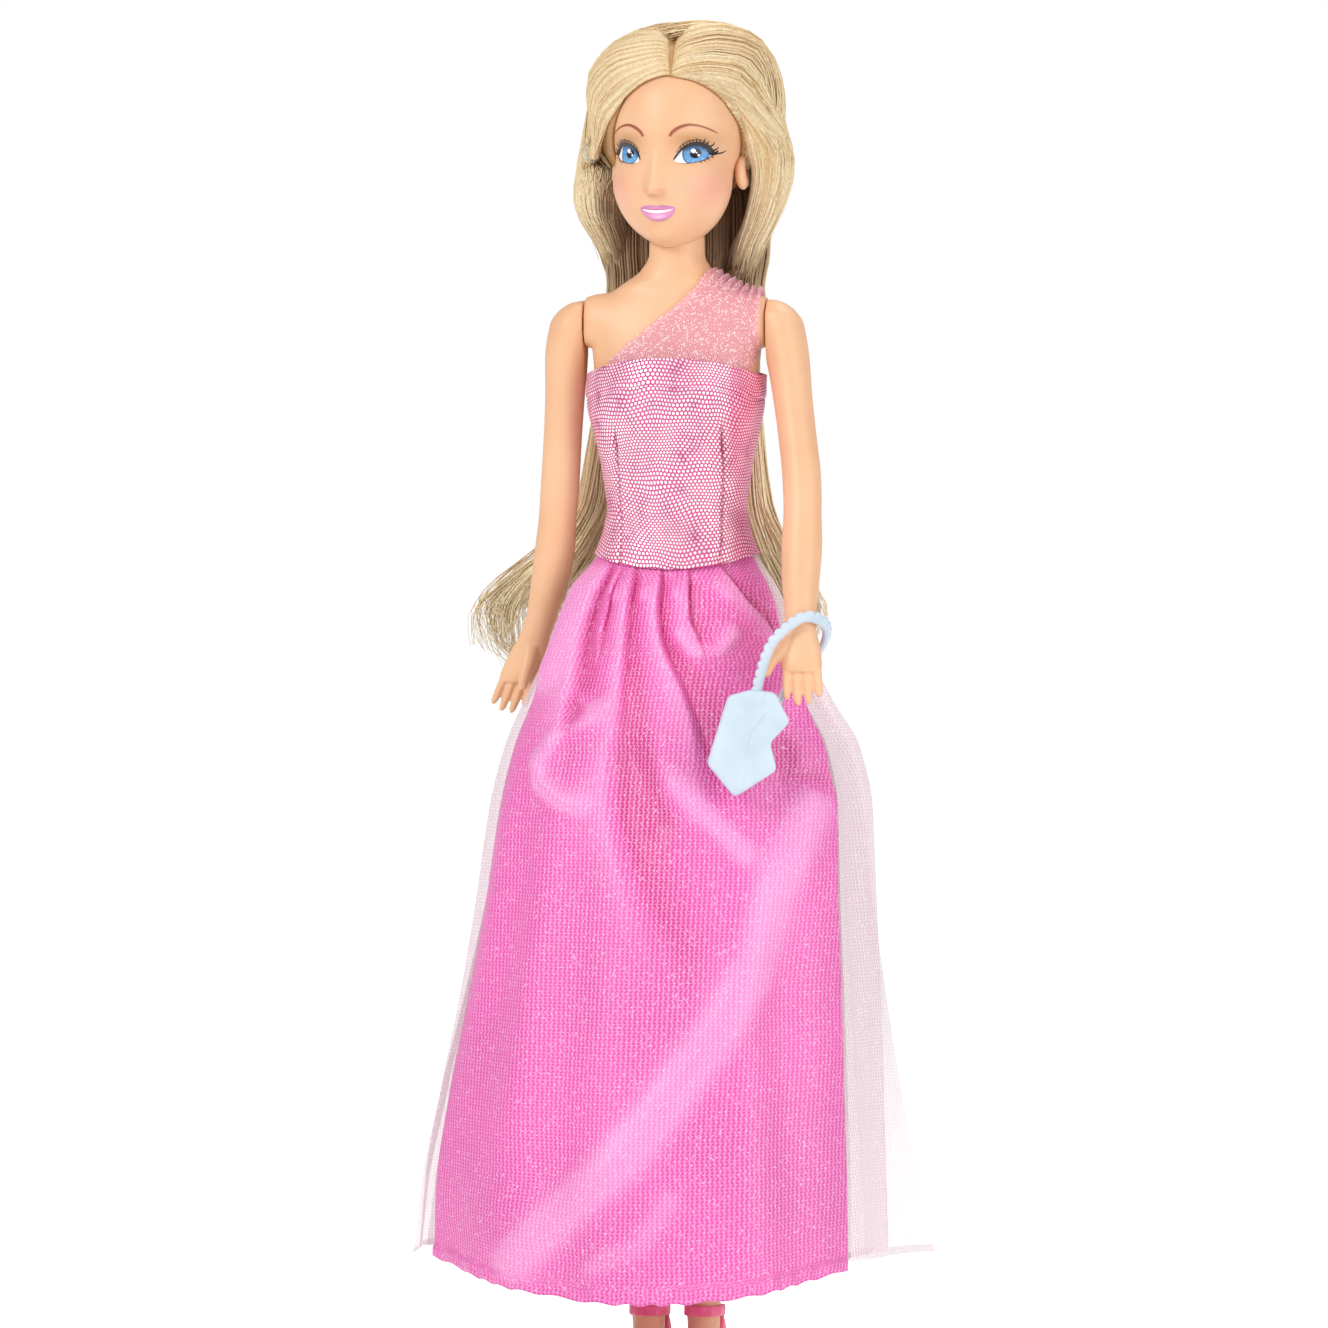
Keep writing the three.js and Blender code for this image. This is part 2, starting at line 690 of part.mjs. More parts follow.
function hairFall(grow) {
  return joinRings(fallShares.map(([down, x, y, width, depth]) => levelRing(
    x * FALL_HALF_WIDTH, y * FALL_HALF_DEPTH, FALL_TOP_Z - FALL_LENGTH * down,
    width * FALL_HALF_WIDTH + grow, depth * FALL_HALF_DEPTH + grow,
    depth * FALL_HALF_DEPTH + grow, FALL_SIDES, FALL_FULLNESS,
  )));
}

// The front lock, drawn back over the doll's right temple.
const twistPathShares = [
  [-0.98, -0.52, 0.20],
  [-1.19, -0.20, 0.06],
  [-1.37, 0.10, -0.06],
  [-1.52, 0.34, -0.20],
];
const twistRadiusShares = [0.5, 1, 0.8, 0.95];

function twistStations(grow) {
  return twistPathShares.map(([x, y, z], i) => ({
    x: x * HEAD_HALF_WIDTH,
    y: y * HEAD_HALF_WIDTH,
    z: HEAD_Z + z * HEAD_HALF_WIDTH,
    w: TWIST_RADIUS * twistRadiusShares[i] + grow,
    d: TWIST_RADIUS * twistRadiusShares[i] + grow,
  }));
}

function elasticSolid() {
  const [x, y, z] = twistPathShares[2].map((share) => share * HEAD_HALF_WIDTH);
  const radius = TWIST_RADIUS * twistRadiusShares[2] + CLEARANCE + ELASTIC_RADIUS;
  const geometry = new THREE.TorusGeometry(radius, ELASTIC_RADIUS, 6, 14);
  const from = new THREE.Vector3(...twistPathShares[1]);
  const along = new THREE.Vector3(...twistPathShares[3]).sub(from).normalize();
  geometry.applyQuaternion(new THREE.Quaternion().setFromUnitVectors(new THREE.Vector3(0, 0, 1), along));
  geometry.translate(x, y, HEAD_Z + z);
  return toSolid(geometry);
}

// Arms: shares of the arm's length, then the reach outward on the left and on the right arm,
// and the half width and half depth, in shares of the arm's half width.
const armShares = [
  [-0.050, 0.06, 0.06, 0.20, 0.32],
  [-0.043, 0.20, 0.20, 0.62, 0.86],
  [-0.024, 0.40, 0.40, 0.98, 1.26],
  [0.006, 0.57, 0.57, 1.22, 1.52],
  [0.090, 1.02, 0.96, 1.12, 1.36],
  [0.200, 1.40, 1.12, 1.00, 1.12],
  [0.300, 1.72, 1.26, 0.97, 1.05],
  [0.410, 2.04, 1.42, 0.98, 1.00],
  [0.500, 2.16, 1.58, 0.96, 0.98],
  [0.590, 2.20, 1.78, 1.02, 1.02],
  [0.690, 2.22, 2.14, 0.93, 0.90],
  [0.760, 2.27, 2.52, 0.80, 0.70],
  [0.800, 2.31, 2.82, 0.80, 0.62],
  [0.850, 2.38, 3.22, 0.98, 0.56],
  [0.900, 2.46, 3.62, 1.04, 0.52],
  [0.918, 2.50, 3.78, 0.92, 0.42],
];
const fingerLengthShares = [0.093, 0.108, 0.103, 0.085];
const fingerAcrossShares = [-0.74, -0.25, 0.25, 0.74];
// Each row: how far along the finger, its thickness, and its curl towards the palm.
const fingerSectionShares = [
  [0.0, 1.05, 0.00],
  [0.4, 1.00, 0.08],
  [0.8, 0.88, 0.32],
  [1.0, 0.55, 0.50],
];
const FINGER_ROOT_SHARE = 0.892;
const FINGER_SPREAD_SHARE = 0.12;

function armReach(along, side) {
  const shares = readShares(armShares, along);
  return SHOULDER_HALF_SPAN + CLEARANCE + ARM_HALF_WIDTH * shares[side > 0 ? 0 : 1];
}

function armStation(along, side, across, width, depth, forward) {
  return {
    x: side * (armReach(along, side) + across),
    y: forward,
    z: SHOULDER_Z - ARM_LENGTH * along,
    w: width,
    d: depth,
  };
}

function handFingers(side) {
  const before = FINGER_ROOT_SHARE - 2 * FINGER_HALF_WIDTH / ARM_LENGTH;
  const slope = (armReach(FINGER_ROOT_SHARE, side) - armReach(before, side))
    / (FINGER_ROOT_SHARE - before);
  return fingerLengthShares.map((length, i) => {
    const across = fingerAcrossShares[i] * ARM_HALF_WIDTH;
    const stations = fingerSectionShares.map(([part, thickness, curl]) => {
      const outward = across * (1 + FINGER_SPREAD_SHARE * part) + slope * length * part;
      const radius = FINGER_HALF_WIDTH * thickness;
      const station = armStation(FINGER_ROOT_SHARE, side, outward, radius, radius,
        FINGER_HALF_WIDTH * curl);
      station.z -= ARM_LENGTH * length * part;
      return station;
    });
    return limb(stations, FINGER_SIDES);
  });
}

// The left thumb points inward, the right one forward. Each row: the place along the arm,
// then how far the left and the right thumb reach inward and forward, and the radius.
const thumbShares = [
  [0.835, -0.50, -0.10, -0.12, -0.31, 0.45],
  [0.872, -1.15, -0.23, -0.29, -0.71, 0.38],
  [0.905, -1.62, -0.32, -0.40, -1.00, 0.30],
  [0.932, -1.80, -0.36, -0.45, -1.12, 0.21],
];

function thumb(side) {
  const stations = thumbShares.map(([along, inLeft, foreLeft, inRight, foreRight, radius]) => {
    const inward = ARM_HALF_WIDTH * (side > 0 ? inLeft : inRight);
    const forward = ARM_HALF_WIDTH * (side > 0 ? foreLeft : foreRight);
    const size = ARM_HALF_WIDTH * radius;
    return armStation(along, side, inward, size, size, forward);
  });
  return limb(stations, THUMB_SIDES);
}

function armSolid(side) {
  const main = limb(armShares.map(([along, ...shares]) => {
    const [width, depth] = shares.slice(2);
    return armStation(along, side, 0, width * ARM_HALF_WIDTH, depth * ARM_HALF_WIDTH, 0);
  }), ARM_SIDES);
  const seamX = SHOULDER_HALF_SPAN + CLEARANCE;
  const flangeX = SHOULDER_HALF_SPAN - TORSO_WALL - RUNNING_CLEARANCE;
  const peg = crossBar(side * (flangeX - PEG_FLANGE_THICKNESS), side * (seamX + PEG_RADIUS), 0,
    SHOULDER_Z, PEG_RADIUS);
  const flange = crossBar(side * (flangeX - PEG_FLANGE_THICKNESS), side * flangeX, 0,
    SHOULDER_Z, PEG_FLANGE_RADIUS);
  const outside = joinAll([main, ...handFingers(side), thumb(side)])
    .trimByPlane([side, 0, 0], seamX);
  const swing = side > 0 ? LEFT_ARM_SWING_DEGREES : RIGHT_ARM_SWING_DEGREES;
  return turned(joinAll([outside, peg, flange]), 'x', -swing, [0, 0, SHOULDER_Z]);
}

// Legs: shares of the hip's height, then of the spread at the hip, the place in y,
// and the half width and half depth, in shares of the leg's half width.
const legShares = [
  [0.000, 1.00, 0.00, 0.85, 0.90],
  [0.040, 1.00, 0.00, 1.03, 1.10],
  [0.100, 0.97, -0.03, 1.00, 1.10],
  [0.180, 0.91, -0.06, 0.95, 1.03],
  [0.270, 0.85, -0.08, 0.86, 0.92],
  [0.350, 0.79, -0.08, 0.77, 0.83],
  [0.420, 0.76, -0.07, 0.71, 0.76],
  [0.480, 0.74, 0.00, 0.65, 0.72],
  [0.550, 0.71, 0.10, 0.66, 0.78],
  [0.630, 0.68, 0.12, 0.61, 0.72],
  [0.710, 0.64, 0.11, 0.51, 0.60],
  [0.790, 0.61, 0.10, 0.43, 0.48],
  [0.855, 0.59, 0.10, 0.42, 0.46],
];
const footShares = [
  [0.885, 0.59, -0.02, 0.42, 0.48],
  [0.915, 0.59, -0.38, 0.42, 0.45],
  [0.942, 0.60, -0.95, 0.45, 0.36],
  [0.964, 0.60, -1.58, 0.49, 0.28],
  [0.974, 0.60, -2.12, 0.44, 0.21],
  [0.977, 0.60, -2.48, 0.28, 0.13],
];
const heelPlaceShares = [0.59, 0.43, 0.898];
const heelRadiusShares = [0.39, 0.46, 0.53];

function legStation(side, [down, x, y, width, depth], grow) {
  return {
    x: side * x * HIP_HALF_SPREAD,
    y: y * LEG_HALF_WIDTH,
    z: HIP_Z * (1 - down),
    w: width * LEG_HALF_WIDTH + grow,
    d: depth * LEG_HALF_WIDTH + grow,
  };
}

function heelBall(side, grow) {
  return ballSolid(
    [
      side * heelPlaceShares[0] * HIP_HALF_SPREAD,
      heelPlaceShares[1] * LEG_HALF_WIDTH,
      HIP_Z * (1 - heelPlaceShares[2]),
    ],
    heelRadiusShares.map((share) => share * LEG_HALF_WIDTH + grow), 10, 8,
  );
}

function footSolid(side, grow) {
  const rows = [...legShares.slice(-2), ...footShares];
  const stations = rows.map((row) => legStation(side, row, grow));
  const toe = { ...stations[stations.length - 1] };
  toe.y -= grow;
  stations.push(toe);
  stations[stations.length - 2].y += grow / 2;
  return joinAll([limb(stations, LEG_SIDES), heelBall(side, grow)]);
}

function legSolid(side) {
  const rows = [...legShares, ...footShares];
  const main = limb(rows.map((row) => legStation(side, row, 0)), LEG_SIDES);
  const x = side * HIP_HALF_SPREAD;
  const ball = ballSolid([x, 0, HIP_Z], [HIP_BALL_RADIUS, HIP_BALL_RADIUS, HIP_BALL_RADIUS], 16, 10);
  const bore = crossBar(0, side * OVERRUN, 0, HIP_Z, AXLE_RADIUS + RUNNING_CLEARANCE);
  const capInnerX = CAP_OUTER_X - CAP_THICKNESS - CLEARANCE;
  const pocket = crossBar(side * capInnerX, side * OVERRUN, 0, HIP_Z, CAP_RADIUS + CLEARANCE);
  return joinAll([main, ball, heelBall(side, 0)]).subtract(bore).subtract(pocket);
}

function hipAxle() {
  const end = CAP_OUTER_X - CAP_THICKNESS + AXLE_IN_CAP;
  return crossBar(-end, end, 0, HIP_Z, AXLE_RADIUS);
}

function hipCap(side) {
  const inner = CAP_OUTER_X - CAP_THICKNESS;
  const disc = crossBar(side * inner, side * CAP_OUTER_X, 0, HIP_Z, CAP_RADIUS);
  const socket = crossBar(0, side * (inner + AXLE_IN_CAP + SEAM / 2), 0, HIP_Z,
    AXLE_RADIUS + SEAM / 2);
  return disc.subtract(socket);
}

const VAMP_END_SHARE = -0.28;
const COUNTER_START_SHARE = 0.06;

// Shoes. The side outline of the sole follows the foot, in shares of the shoe's length.
const soleTopShares = [
  [-0.78, 0.066],
  [-0.45, 0.080],
  [-0.22, 0.190],
  [-0.02, 0.325],
  [0.25, 0.400],
];
const footprintShares = [
  [-0.79, 0.00],
  [-0.76, 0.45],
  [-0.66, 0.80],
  [-0.50, 0.98],
  [-0.30, 0.90],
  [-0.05, 0.66],
  [0.12, 0.62],
  [0.22, 0.48],
  [0.27, 0.00],
];

function footprintSolid(side) {
  const x = side * heelPlaceShares[0] * HIP_HALF_SPREAD;
  const right = footprintShares.map(([y, w]) => new THREE.Vector2(
    x + w * SHOE_HALF_WIDTH, y * SHOE_LENGTH,
  ));
  const left = footprintShares.slice(1, -1).reverse().map(([y, w]) => new THREE.Vector2(
    x - w * SHOE_HALF_WIDTH, y * SHOE_LENGTH,
  ));
  const outline = new THREE.Shape([...right, ...left]);
  const geometry = new THREE.ExtrudeGeometry(outline, { depth: OVERRUN, bevelEnabled: false });
  return toSolid(geometry);
}

function soleSolid(side) {
  const top = soleTopShares.map(([y, z]) => new THREE.Vector2(y * SHOE_LENGTH, z * SHOE_LENGTH));
  const under = top.slice().reverse().map((point) => new THREE.Vector2(
    point.x, Math.max(point.y - SOLE_THICKNESS, 0),
  ));
  const profile = new THREE.Shape([...top, ...under]);
  const geometry = new THREE.ExtrudeGeometry(profile, { depth: 2 * OVERRUN, bevelEnabled: false });
  geometry.rotateX(Math.PI / 2);
  geometry.rotateZ(Math.PI / 2);
  geometry.translate(-OVERRUN, 0, 0);
  return toSolid(geometry).intersect(footprintSolid(side));
}

function shoeSolid(side) {
  const x = side * heelPlaceShares[0] * HIP_HALF_SPREAD;
  const heelY = heelPlaceShares[1] * LEG_HALF_WIDTH;
  const heelSeatZ = HIP_Z * (1 - heelPlaceShares[2]) - LEG_HALF_WIDTH * heelRadiusShares[2];
  const shell = footSolid(side, SHOE_CLEARANCE + SHOE_WALL);
  const toeRoom = boxSolid([-OVERRUN, -OVERRUN, 0],
    [OVERRUN, VAMP_END_SHARE * SHOE_LENGTH, OVERRUN]);
  const counterRoom = boxSolid([-OVERRUN, COUNTER_START_SHARE * SHOE_LENGTH, 0],
    [OVERRUN, OVERRUN, STRAP_Z + STRAP_HEIGHT / 2]);
  const lowRoom = boxSolid([-OVERRUN, -OVERRUN, 0],
    [OVERRUN, OVERRUN, heelSeatZ + SHOE_WALL + SOLE_THICKNESS]);
  const strapRoom = boxSolid([-OVERRUN, -OVERRUN, STRAP_Z - STRAP_HEIGHT / 2],
    [OVERRUN, OVERRUN, STRAP_Z + STRAP_HEIGHT / 2]);
  const upper = shell.intersect(joinAll([toeRoom, counterRoom, lowRoom, strapRoom]));
  const heel = post(x, heelY, 0, heelSeatZ + SHOE_WALL, HEEL_TIP_RADIUS,
    HEEL_SEAT_RADIUS, HEEL_SIDES);
  const floorRoom = boxSolid([-OVERRUN, -OVERRUN, 0], [OVERRUN, OVERRUN, OVERRUN]);
  return joinAll([upper, soleSolid(side), heel])
    .intersect(floorRoom)
    .subtract(footSolid(side, SHOE_CLEARANCE));
}

// Gown: shares of the bodice's height, then its half width, and depth in front and behind.
const bodiceShares = [
  [0.00, 0.915, 0.98, 1.13],
  [0.14, 0.820, 0.91, 1.00],
  [0.27, 0.770, 0.87, 0.93],
  [0.45, 0.820, 0.95, 0.93],
  [0.67, 0.920, 1.27, 0.96],
  [0.84, 0.985, 1.44, 1.00],
  [1.00, 1.000, 1.30, 1.01],
];
const BODICE_FULLNESS = 2.2;
const BODICE_BACK_GAP_DEGREES = 3;

// A place on the bodice: turn from the front, share of its height, and lift off its outside.
function bodicePoint(turn, height, lift) {
  const [width, front, back] = readShares(bodiceShares, height);
  const c = Math.sin(turn);
  const s = -Math.cos(turn);
  const power = 2 / BODICE_FULLNESS;
  const depth = BODICE_HALF_DEPTH * (s < 0 ? front : back) + lift;
  return new THREE.Vector3(
    (BODICE_HALF_WIDTH * width + lift) * Math.sign(c) * Math.abs(c) ** power,
    depth * Math.sign(s) * Math.abs(s) ** power,
    BODICE_BOTTOM_Z + BODICE_HEIGHT * height,
  );
}

function bodiceSolid() {
  const half = Math.PI - toRadians(BODICE_BACK_GAP_DEGREES);
  const surface = (lift) => (u, v) => bodicePoint(lerp(-half, half, u), v, lift);
  return sheetSolid(surface(0), surface(-CLOTH), BODICE_COLUMNS, BODICE_ROWS);
}

function fastenerStrip(outerLift) {
  const half = FASTENER_WIDTH / 2 / BODICE_HALF_DEPTH;
  const low = FASTENER_INSET / BODICE_HEIGHT;
  const surface = (lift) => (u, v) => bodicePoint(
    Math.PI + lerp(-half, half, u), lerp(low, 1 - low, v), lift,
  );
  return sheetSolid(surface(outerLift), surface(outerLift - FASTENER_THICKNESS), 4, 6);
}

// Whether a place lies inside the torso's outside, shoulders included.
function insideTorso(x, y, z) {
  const inBar = Math.abs(x) < SHOULDER_HALF_SPAN
    && Math.hypot(y, z - SHOULDER_Z) < SHOULDER_RADIUS;
  if (inBar) return true;
  const height = (z - TORSO_BASE_Z) / TORSO_HEIGHT;
  const [width, front, back] = readShares(torsoShares, height);
  const depth = (y < 0 ? front : back) * TORSO_HALF_DEPTH;
  const across = Math.abs(x / (width * TORSO_HALF_WIDTH)) ** TORSO_FULLNESS;
  return across + Math.abs(y / depth) ** TORSO_FULLNESS < 1;
}

// Shoulder drape: carried over the left shoulder from the bodice's front edge to its back edge.
// Each row: the turn over the shoulder, then the inner and the outer edge in x,
// in shares of half the shoulders' span.
const drapeShares = [
  [0.00, -0.66, 0.93],
  [0.15, -0.30, 0.93],
  [0.30, 0.10, 0.92],
  [0.42, 0.38, 0.91],
  [0.50, 0.46, 0.90],
  [0.58, 0.40, 0.91],
  [0.70, 0.20, 0.92],
  [0.85, -0.05, 0.93],
  [1.00, -0.30, 0.93],
];
const DRAPE_HALF_TURN_DEGREES = 118;
const DRAPE_FOLD_DEPTH = 0.35;
const DRAPE_FOLDS = 5;
const BISECTIONS = 30;

function drapePoint(u, v, lift) {
  const [inner, outer] = readShares(drapeShares, v);
  const x = lerp(inner, outer, u) * SHOULDER_HALF_SPAN;
  const turn = toRadians(lerp(-DRAPE_HALF_TURN_DEGREES, DRAPE_HALF_TURN_DEGREES, v));
  const alongY = Math.sin(turn);
  const alongZ = Math.cos(turn);
  const pivotZ = SHOULDER_Z - SHOULDER_RADIUS / 2;
  let near = 0;
  let far = 2 * TORSO_HALF_WIDTH;
  for (let step = 0; step < BISECTIONS; step += 1) {
    const middle = (near + far) / 2;
    if (insideTorso(x, alongY * middle, pivotZ + alongZ * middle)) near = middle;
    else far = middle;
  }
  const fold = DRAPE_FOLD_DEPTH * (1 + Math.cos(FULL_TURN * DRAPE_FOLDS * u)) * Math.sin(Math.PI * v);
  const reach = near + DRAPE_GAP + fold + lift;
  return new THREE.Vector3(x, alongY * reach, pivotZ + alongZ * reach);
}

function shoulderDrape() {
  const surface = (lift) => (u, v) => drapePoint(u, v, lift);
  const neckRoom = post(0, 0, SHOULDER_Z, NECK_TOP_Z + OVERRUN, NECK_RADIUS + 2 * CLEARANCE,
    NECK_RADIUS + 2 * CLEARANCE);
  const topZ = BODICE_BOTTOM_Z + BODICE_HEIGHT + CLEARANCE;
  return sheetSolid(surface(CLOTH), surface(0), 8, 14)
    .subtract(neckRoom)
    .trimByPlane([0, 0, 1], topZ);
}

// Skirt: shares of its length, then the reach to the doll's right and left,
// and the depth in front and behind.
const skirtShares = [
  [0.00, 0.340, 0.340, 0.270, 0.315],
  [0.05, 0.430, 0.430, 0.355, 0.385],
  [0.12, 0.520, 0.520, 0.430, 0.440],
  [0.19, 0.620, 0.635, 0.500, 0.505],
  [0.25, 0.700, 0.745, 0.550, 0.555],
  [0.33, 0.765, 0.800, 0.610, 0.610],
  [0.46, 0.825, 0.815, 0.710, 0.690],
  [0.60, 0.895, 0.835, 0.810, 0.765],
  [0.74, 0.970, 0.852, 0.895, 0.835],
  [0.88, 1.020, 0.872, 0.965, 0.905],
  [1.00, 1.025, 0.880, 1.000, 0.935],
];
const PLEATS = 11;
const PLEAT_WANDER = 1.6;
const PLEAT_SWAY = 2.2;
const PLEAT_TOP_SHARE = 0.35;
const PLEAT_OPENING_SHARE = 0.25;
const PLEAT_FADING_SHARE = 0.35;
const HEM_SHARPNESS = 6;
const FLARE_SHARPNESS = 3;
const SEAM_TURN_DEGREES = 0.8;
const OVERLAY_FROM_DEGREES = 105;
const OVERLAY_TO_DEGREES = 255;
const PANEL_RIGHT_DEGREES = -72;
const PANEL_LEFT_DEGREES = 62;

// A place on the skirt's outside: turn from the front towards the doll's left, share down.
function skirtPoint(turn, down, lift, pleatDepth) {
  const [right, left, front, back] = readShares(skirtShares, down);
  const s = Math.sin(turn);
  const c = Math.cos(turn);
  const wander = PLEAT_WANDER * Math.sin(PLEAT_SWAY * down + turn);
  const fold = pleatDepth * Math.cos(PLEATS * turn + wander);
  const fading = Math.min(1, PLEAT_TOP_SHARE + down / PLEAT_OPENING_SHARE)
    * (1 - PLEAT_FADING_SHARE * down);
  const ripple = fold * fading + lift;
  const width = (s < 0 ? right : left) * SKIRT_HALF_WIDTH + ripple;
  const depth = (c > 0 ? front : back) * SKIRT_HALF_DEPTH + ripple;
  const hem = SIDE_HEM_RISE * s * s * down ** HEM_SHARPNESS;
  return new THREE.Vector3(width * s, -depth * c, SKIRT_TOP_Z - SKIRT_LENGTH * down + hem);
}

// One panel: its flare behind grows towards the doll's left, its side flare towards the right.
function skirtPanel([startDegrees, endDegrees], lift, [columns, rows], pleatDepth, flare, sideFlare) {
  const from = toRadians(startDegrees);
  const to = toRadians(endDegrees);
  const surface = (inset) => (u, v) => {
    const turn = lerp(from, to, u);
    const behind = flare * v ** FLARE_SHARPNESS * (1 + Math.sin(turn)) / 2;
    const beside = sideFlare * v ** FLARE_SHARPNESS * Math.max(0, -Math.sin(turn)) ** FLARE_SHARPNESS;
    return skirtPoint(turn, v, lift + behind + beside - inset, pleatDepth);
  };
  return sheetSolid(surface(0), surface(CLOTH), columns, rows);
}

// Purse: the bag's outline in shares of its width and height, clockwise from the top left.
const bagShares = [
  [0.26, 0.97],
  [0.54, 1.03],
  [0.83, 1.00],
  [1.00, 0.72],
  [0.76, 0.52],
  [0.84, 0.26],
  [0.34, 0.00],
  [0.00, 0.32],
];

// The strap's way from the bag round the wrist and back, from the wrist's middle,
// in shares of its reach and, in z, of its drop.
const strapPathShares = [
  [-0.50, -0.49, -1.02],
  [-0.42, -0.46, -0.66],
  [-0.30, -0.38, -0.30],
  [-0.08, -0.29, -0.06],
  [0.13, -0.24, 0.04],
  [0.30, -0.05, -0.05],
  [0.28, 0.20, -0.25],
  [0.10, 0.29, -0.52],
  [-0.16, 0.10, -0.80],
  [-0.24, -0.12, -0.99],
  [-0.25, -0.46, -1.06],
];
const WRIST_SHARE = 0.78;

function wristMiddle() {
  const swing = toRadians(LEFT_ARM_SWING_DEGREES);
  const down = ARM_LENGTH * WRIST_SHARE;
  return new THREE.Vector3(
    armReach(WRIST_SHARE, 1), -down * Math.sin(swing), SHOULDER_Z - down * Math.cos(swing),
  );
}

function purseSolid() {
  const wrist = wristMiddle();
  const drop = ARM_LENGTH * STRAP_DROP_SHARE;
  const points = strapPathShares.map(([x, y, z]) => (
    new THREE.Vector3(x * STRAP_REACH, y * STRAP_REACH, z * drop).add(wrist)
  ));
  const strapEndZ = points[points.length - 1].z;
  const bagLeftX = wrist.x - BAG_INWARD;
  const bagBottomZ = strapEndZ + BAG_STRAP_OVERLAP - BAG_HEIGHT;
  const outline = new THREE.Shape(bagShares.map(([x, z]) => new THREE.Vector2(
    bagLeftX + x * BAG_WIDTH, bagBottomZ + z * BAG_HEIGHT,
  )));
  const bag = new THREE.ExtrudeGeometry(outline, {
    depth: BAG_THICKNESS - 2 * BAG_BEVEL,
    bevelThickness: BAG_BEVEL,
    bevelSize: BAG_BEVEL,
    bevelOffset: -BAG_BEVEL,
    bevelSegments: 2,
  });
  bag.rotateX(Math.PI / 2);
  bag.translate(0, wrist.y - BAG_FORWARD + BAG_THICKNESS / 2 - BAG_BEVEL, 0);
  const section = new THREE.Shape();
  section.absellipse(0, 0, STRAP_HALF_WIDTH, STRAP_HALF_THICKNESS, 0, FULL_TURN);
  const strap = new THREE.ExtrudeGeometry(section, {
    steps: 30,
    extrudePath: new THREE.CatmullRomCurve3(points),
    curveSegments: 4,
    bevelEnabled: false,
  });
  return joinAll([toSolid(bag), toSolid(strap)]);
}

// Colours, roughness and metalness
const finishes = {
  skin: { color: 0xf0be94, roughness: 0.55, metalness: 0 },
  vinyl: { color: 0xf2c39c, roughness: 0.5, metalness: 0 },
  inner: { color: 0xe8e2d8, roughness: 0.6, metalness: 0 },
  axle: { color: 0xb9bcc0, roughness: 0.35, metalness: 0.9 },
  hair: { color: 0xd6be8c, roughness: 0.42, metalness: 0 },
  elastic: { color: 0xe9e4da, roughness: 0.25, metalness: 0 },
  foil: { color: 0xe17aa6, roughness: 0.35, metalness: 0.4 },
  fastener: { color: 0xf4f0f0, roughness: 0.9, metalness: 0 },
  drape: { color: 0xeba0af, roughness: 0.6, metalness: 0.1 },
  satin: { color: 0xec64b4, roughness: 0.4, metalness: 0.1 },
  tulle: { color: 0xf0d7e1, roughness: 0.8, metalness: 0 },
  overlay: { color: 0xf7ecf0, roughness: 0.8, metalness: 0 },
  shoe: { color: 0xf56e96, roughness: 0.45, metalness: 0 },
  purse: { color: 0xd2e1eb, roughness: 0.4, metalness: 0 },
};

// The largest of a solid's separate bodies, without the slivers that a cut leaves.
function mainBody(solid) {
  return solid.decompose().reduce((best, body) => (body.volume() > best.volume() ? body : best));
}

const group = new THREE.Group();

function addPiece(name, solid, finish) {
  const mesh = mainBody(solid).simplify(FACET_TOLERANCE).getMesh();
  const geometry = new THREE.BufferGeometry();
  geometry.setAttribute('position', new THREE.BufferAttribute(mesh.vertProperties, 3));
  geometry.setIndex(new THREE.BufferAttribute(mesh.triVerts, 1));
  geometry.translate(ORIGIN_SHIFT_X, ORIGIN_SHIFT_Y, 0);
  geometry.computeVertexNormals();
  const piece = new THREE.Mesh(geometry, new THREE.MeshStandardMaterial(finishes[finish]));
  piece.name = name;
  group.add(piece);
}

const elastic = elasticSolid();
const elasticRoom = limb(twistStations(3 * CLEARANCE + 2 * ELASTIC_RADIUS), TWIST_SIDES);
const fallRoom = hairFall(CLEARANCE);
const twist = limb(twistStations(0), TWIST_SIDES).subtract(scalpRoom);

addPiece('head', withHead(headSolid()), 'vinyl');
addPiece('hair_crown', withHead(hairCrown().subtract(elasticRoom)), 'hair');
for (const [name, side] of [['hair_side_left', 1], ['hair_side_right', -1]]) {
  const lock = sideHair(side).subtract(scalpRoom).subtract(crownRoom).subtract(elasticRoom);
  addPiece(name, withHead(lock).subtract(fallRoom), 'hair');
}
addPiece('hair_twist', withHead(twist), 'hair');
addPiece('hair_elastic', withHead(elastic), 'elastic');

addPiece('torso_front', torsoFront, 'skin');
addPiece('torso_back', torsoBack, 'skin');
addPiece('neck_plug', neckPlug(), 'inner');

addPiece('arm_left', armSolid(1), 'skin');
addPiece('arm_right', armSolid(-1), 'skin');
addPiece('hip_axle', hipAxle(), 'axle');
for (const [label, side] of [['left', 1], ['right', -1]]) {
  addPiece(`hip_cap_${label}`, hipCap(side), 'inner');
  addPiece(`leg_${label}`, legSolid(side), 'skin');
  addPiece(`shoe_${label}`, shoeSolid(side), 'shoe');
}

addPiece('hair_fall', hairFall(0).subtract(withHead(scalpRoom)), 'hair');
addPiece('bodice', bodiceSolid(), 'foil');
const hookLift = -CLOTH - CLEARANCE;
addPiece('closure_hook_strip', fastenerStrip(hookLift), 'fastener');
addPiece('closure_loop_strip', fastenerStrip(hookLift - FASTENER_THICKNESS - CLEARANCE), 'fastener');
addPiece('shoulder_drape', shoulderDrape(), 'drape');
addPiece('skirt_front', skirtPanel(
  [PANEL_RIGHT_DEGREES, PANEL_LEFT_DEGREES], 0, [PANEL_COLUMNS, PANEL_ROWS], PLEAT_DEPTH, 0, 0,
), 'satin');
const tulleTurns = [
  PANEL_LEFT_DEGREES + SEAM_TURN_DEGREES,
  PANEL_RIGHT_DEGREES - SEAM_TURN_DEGREES + toDegrees(FULL_TURN),
];
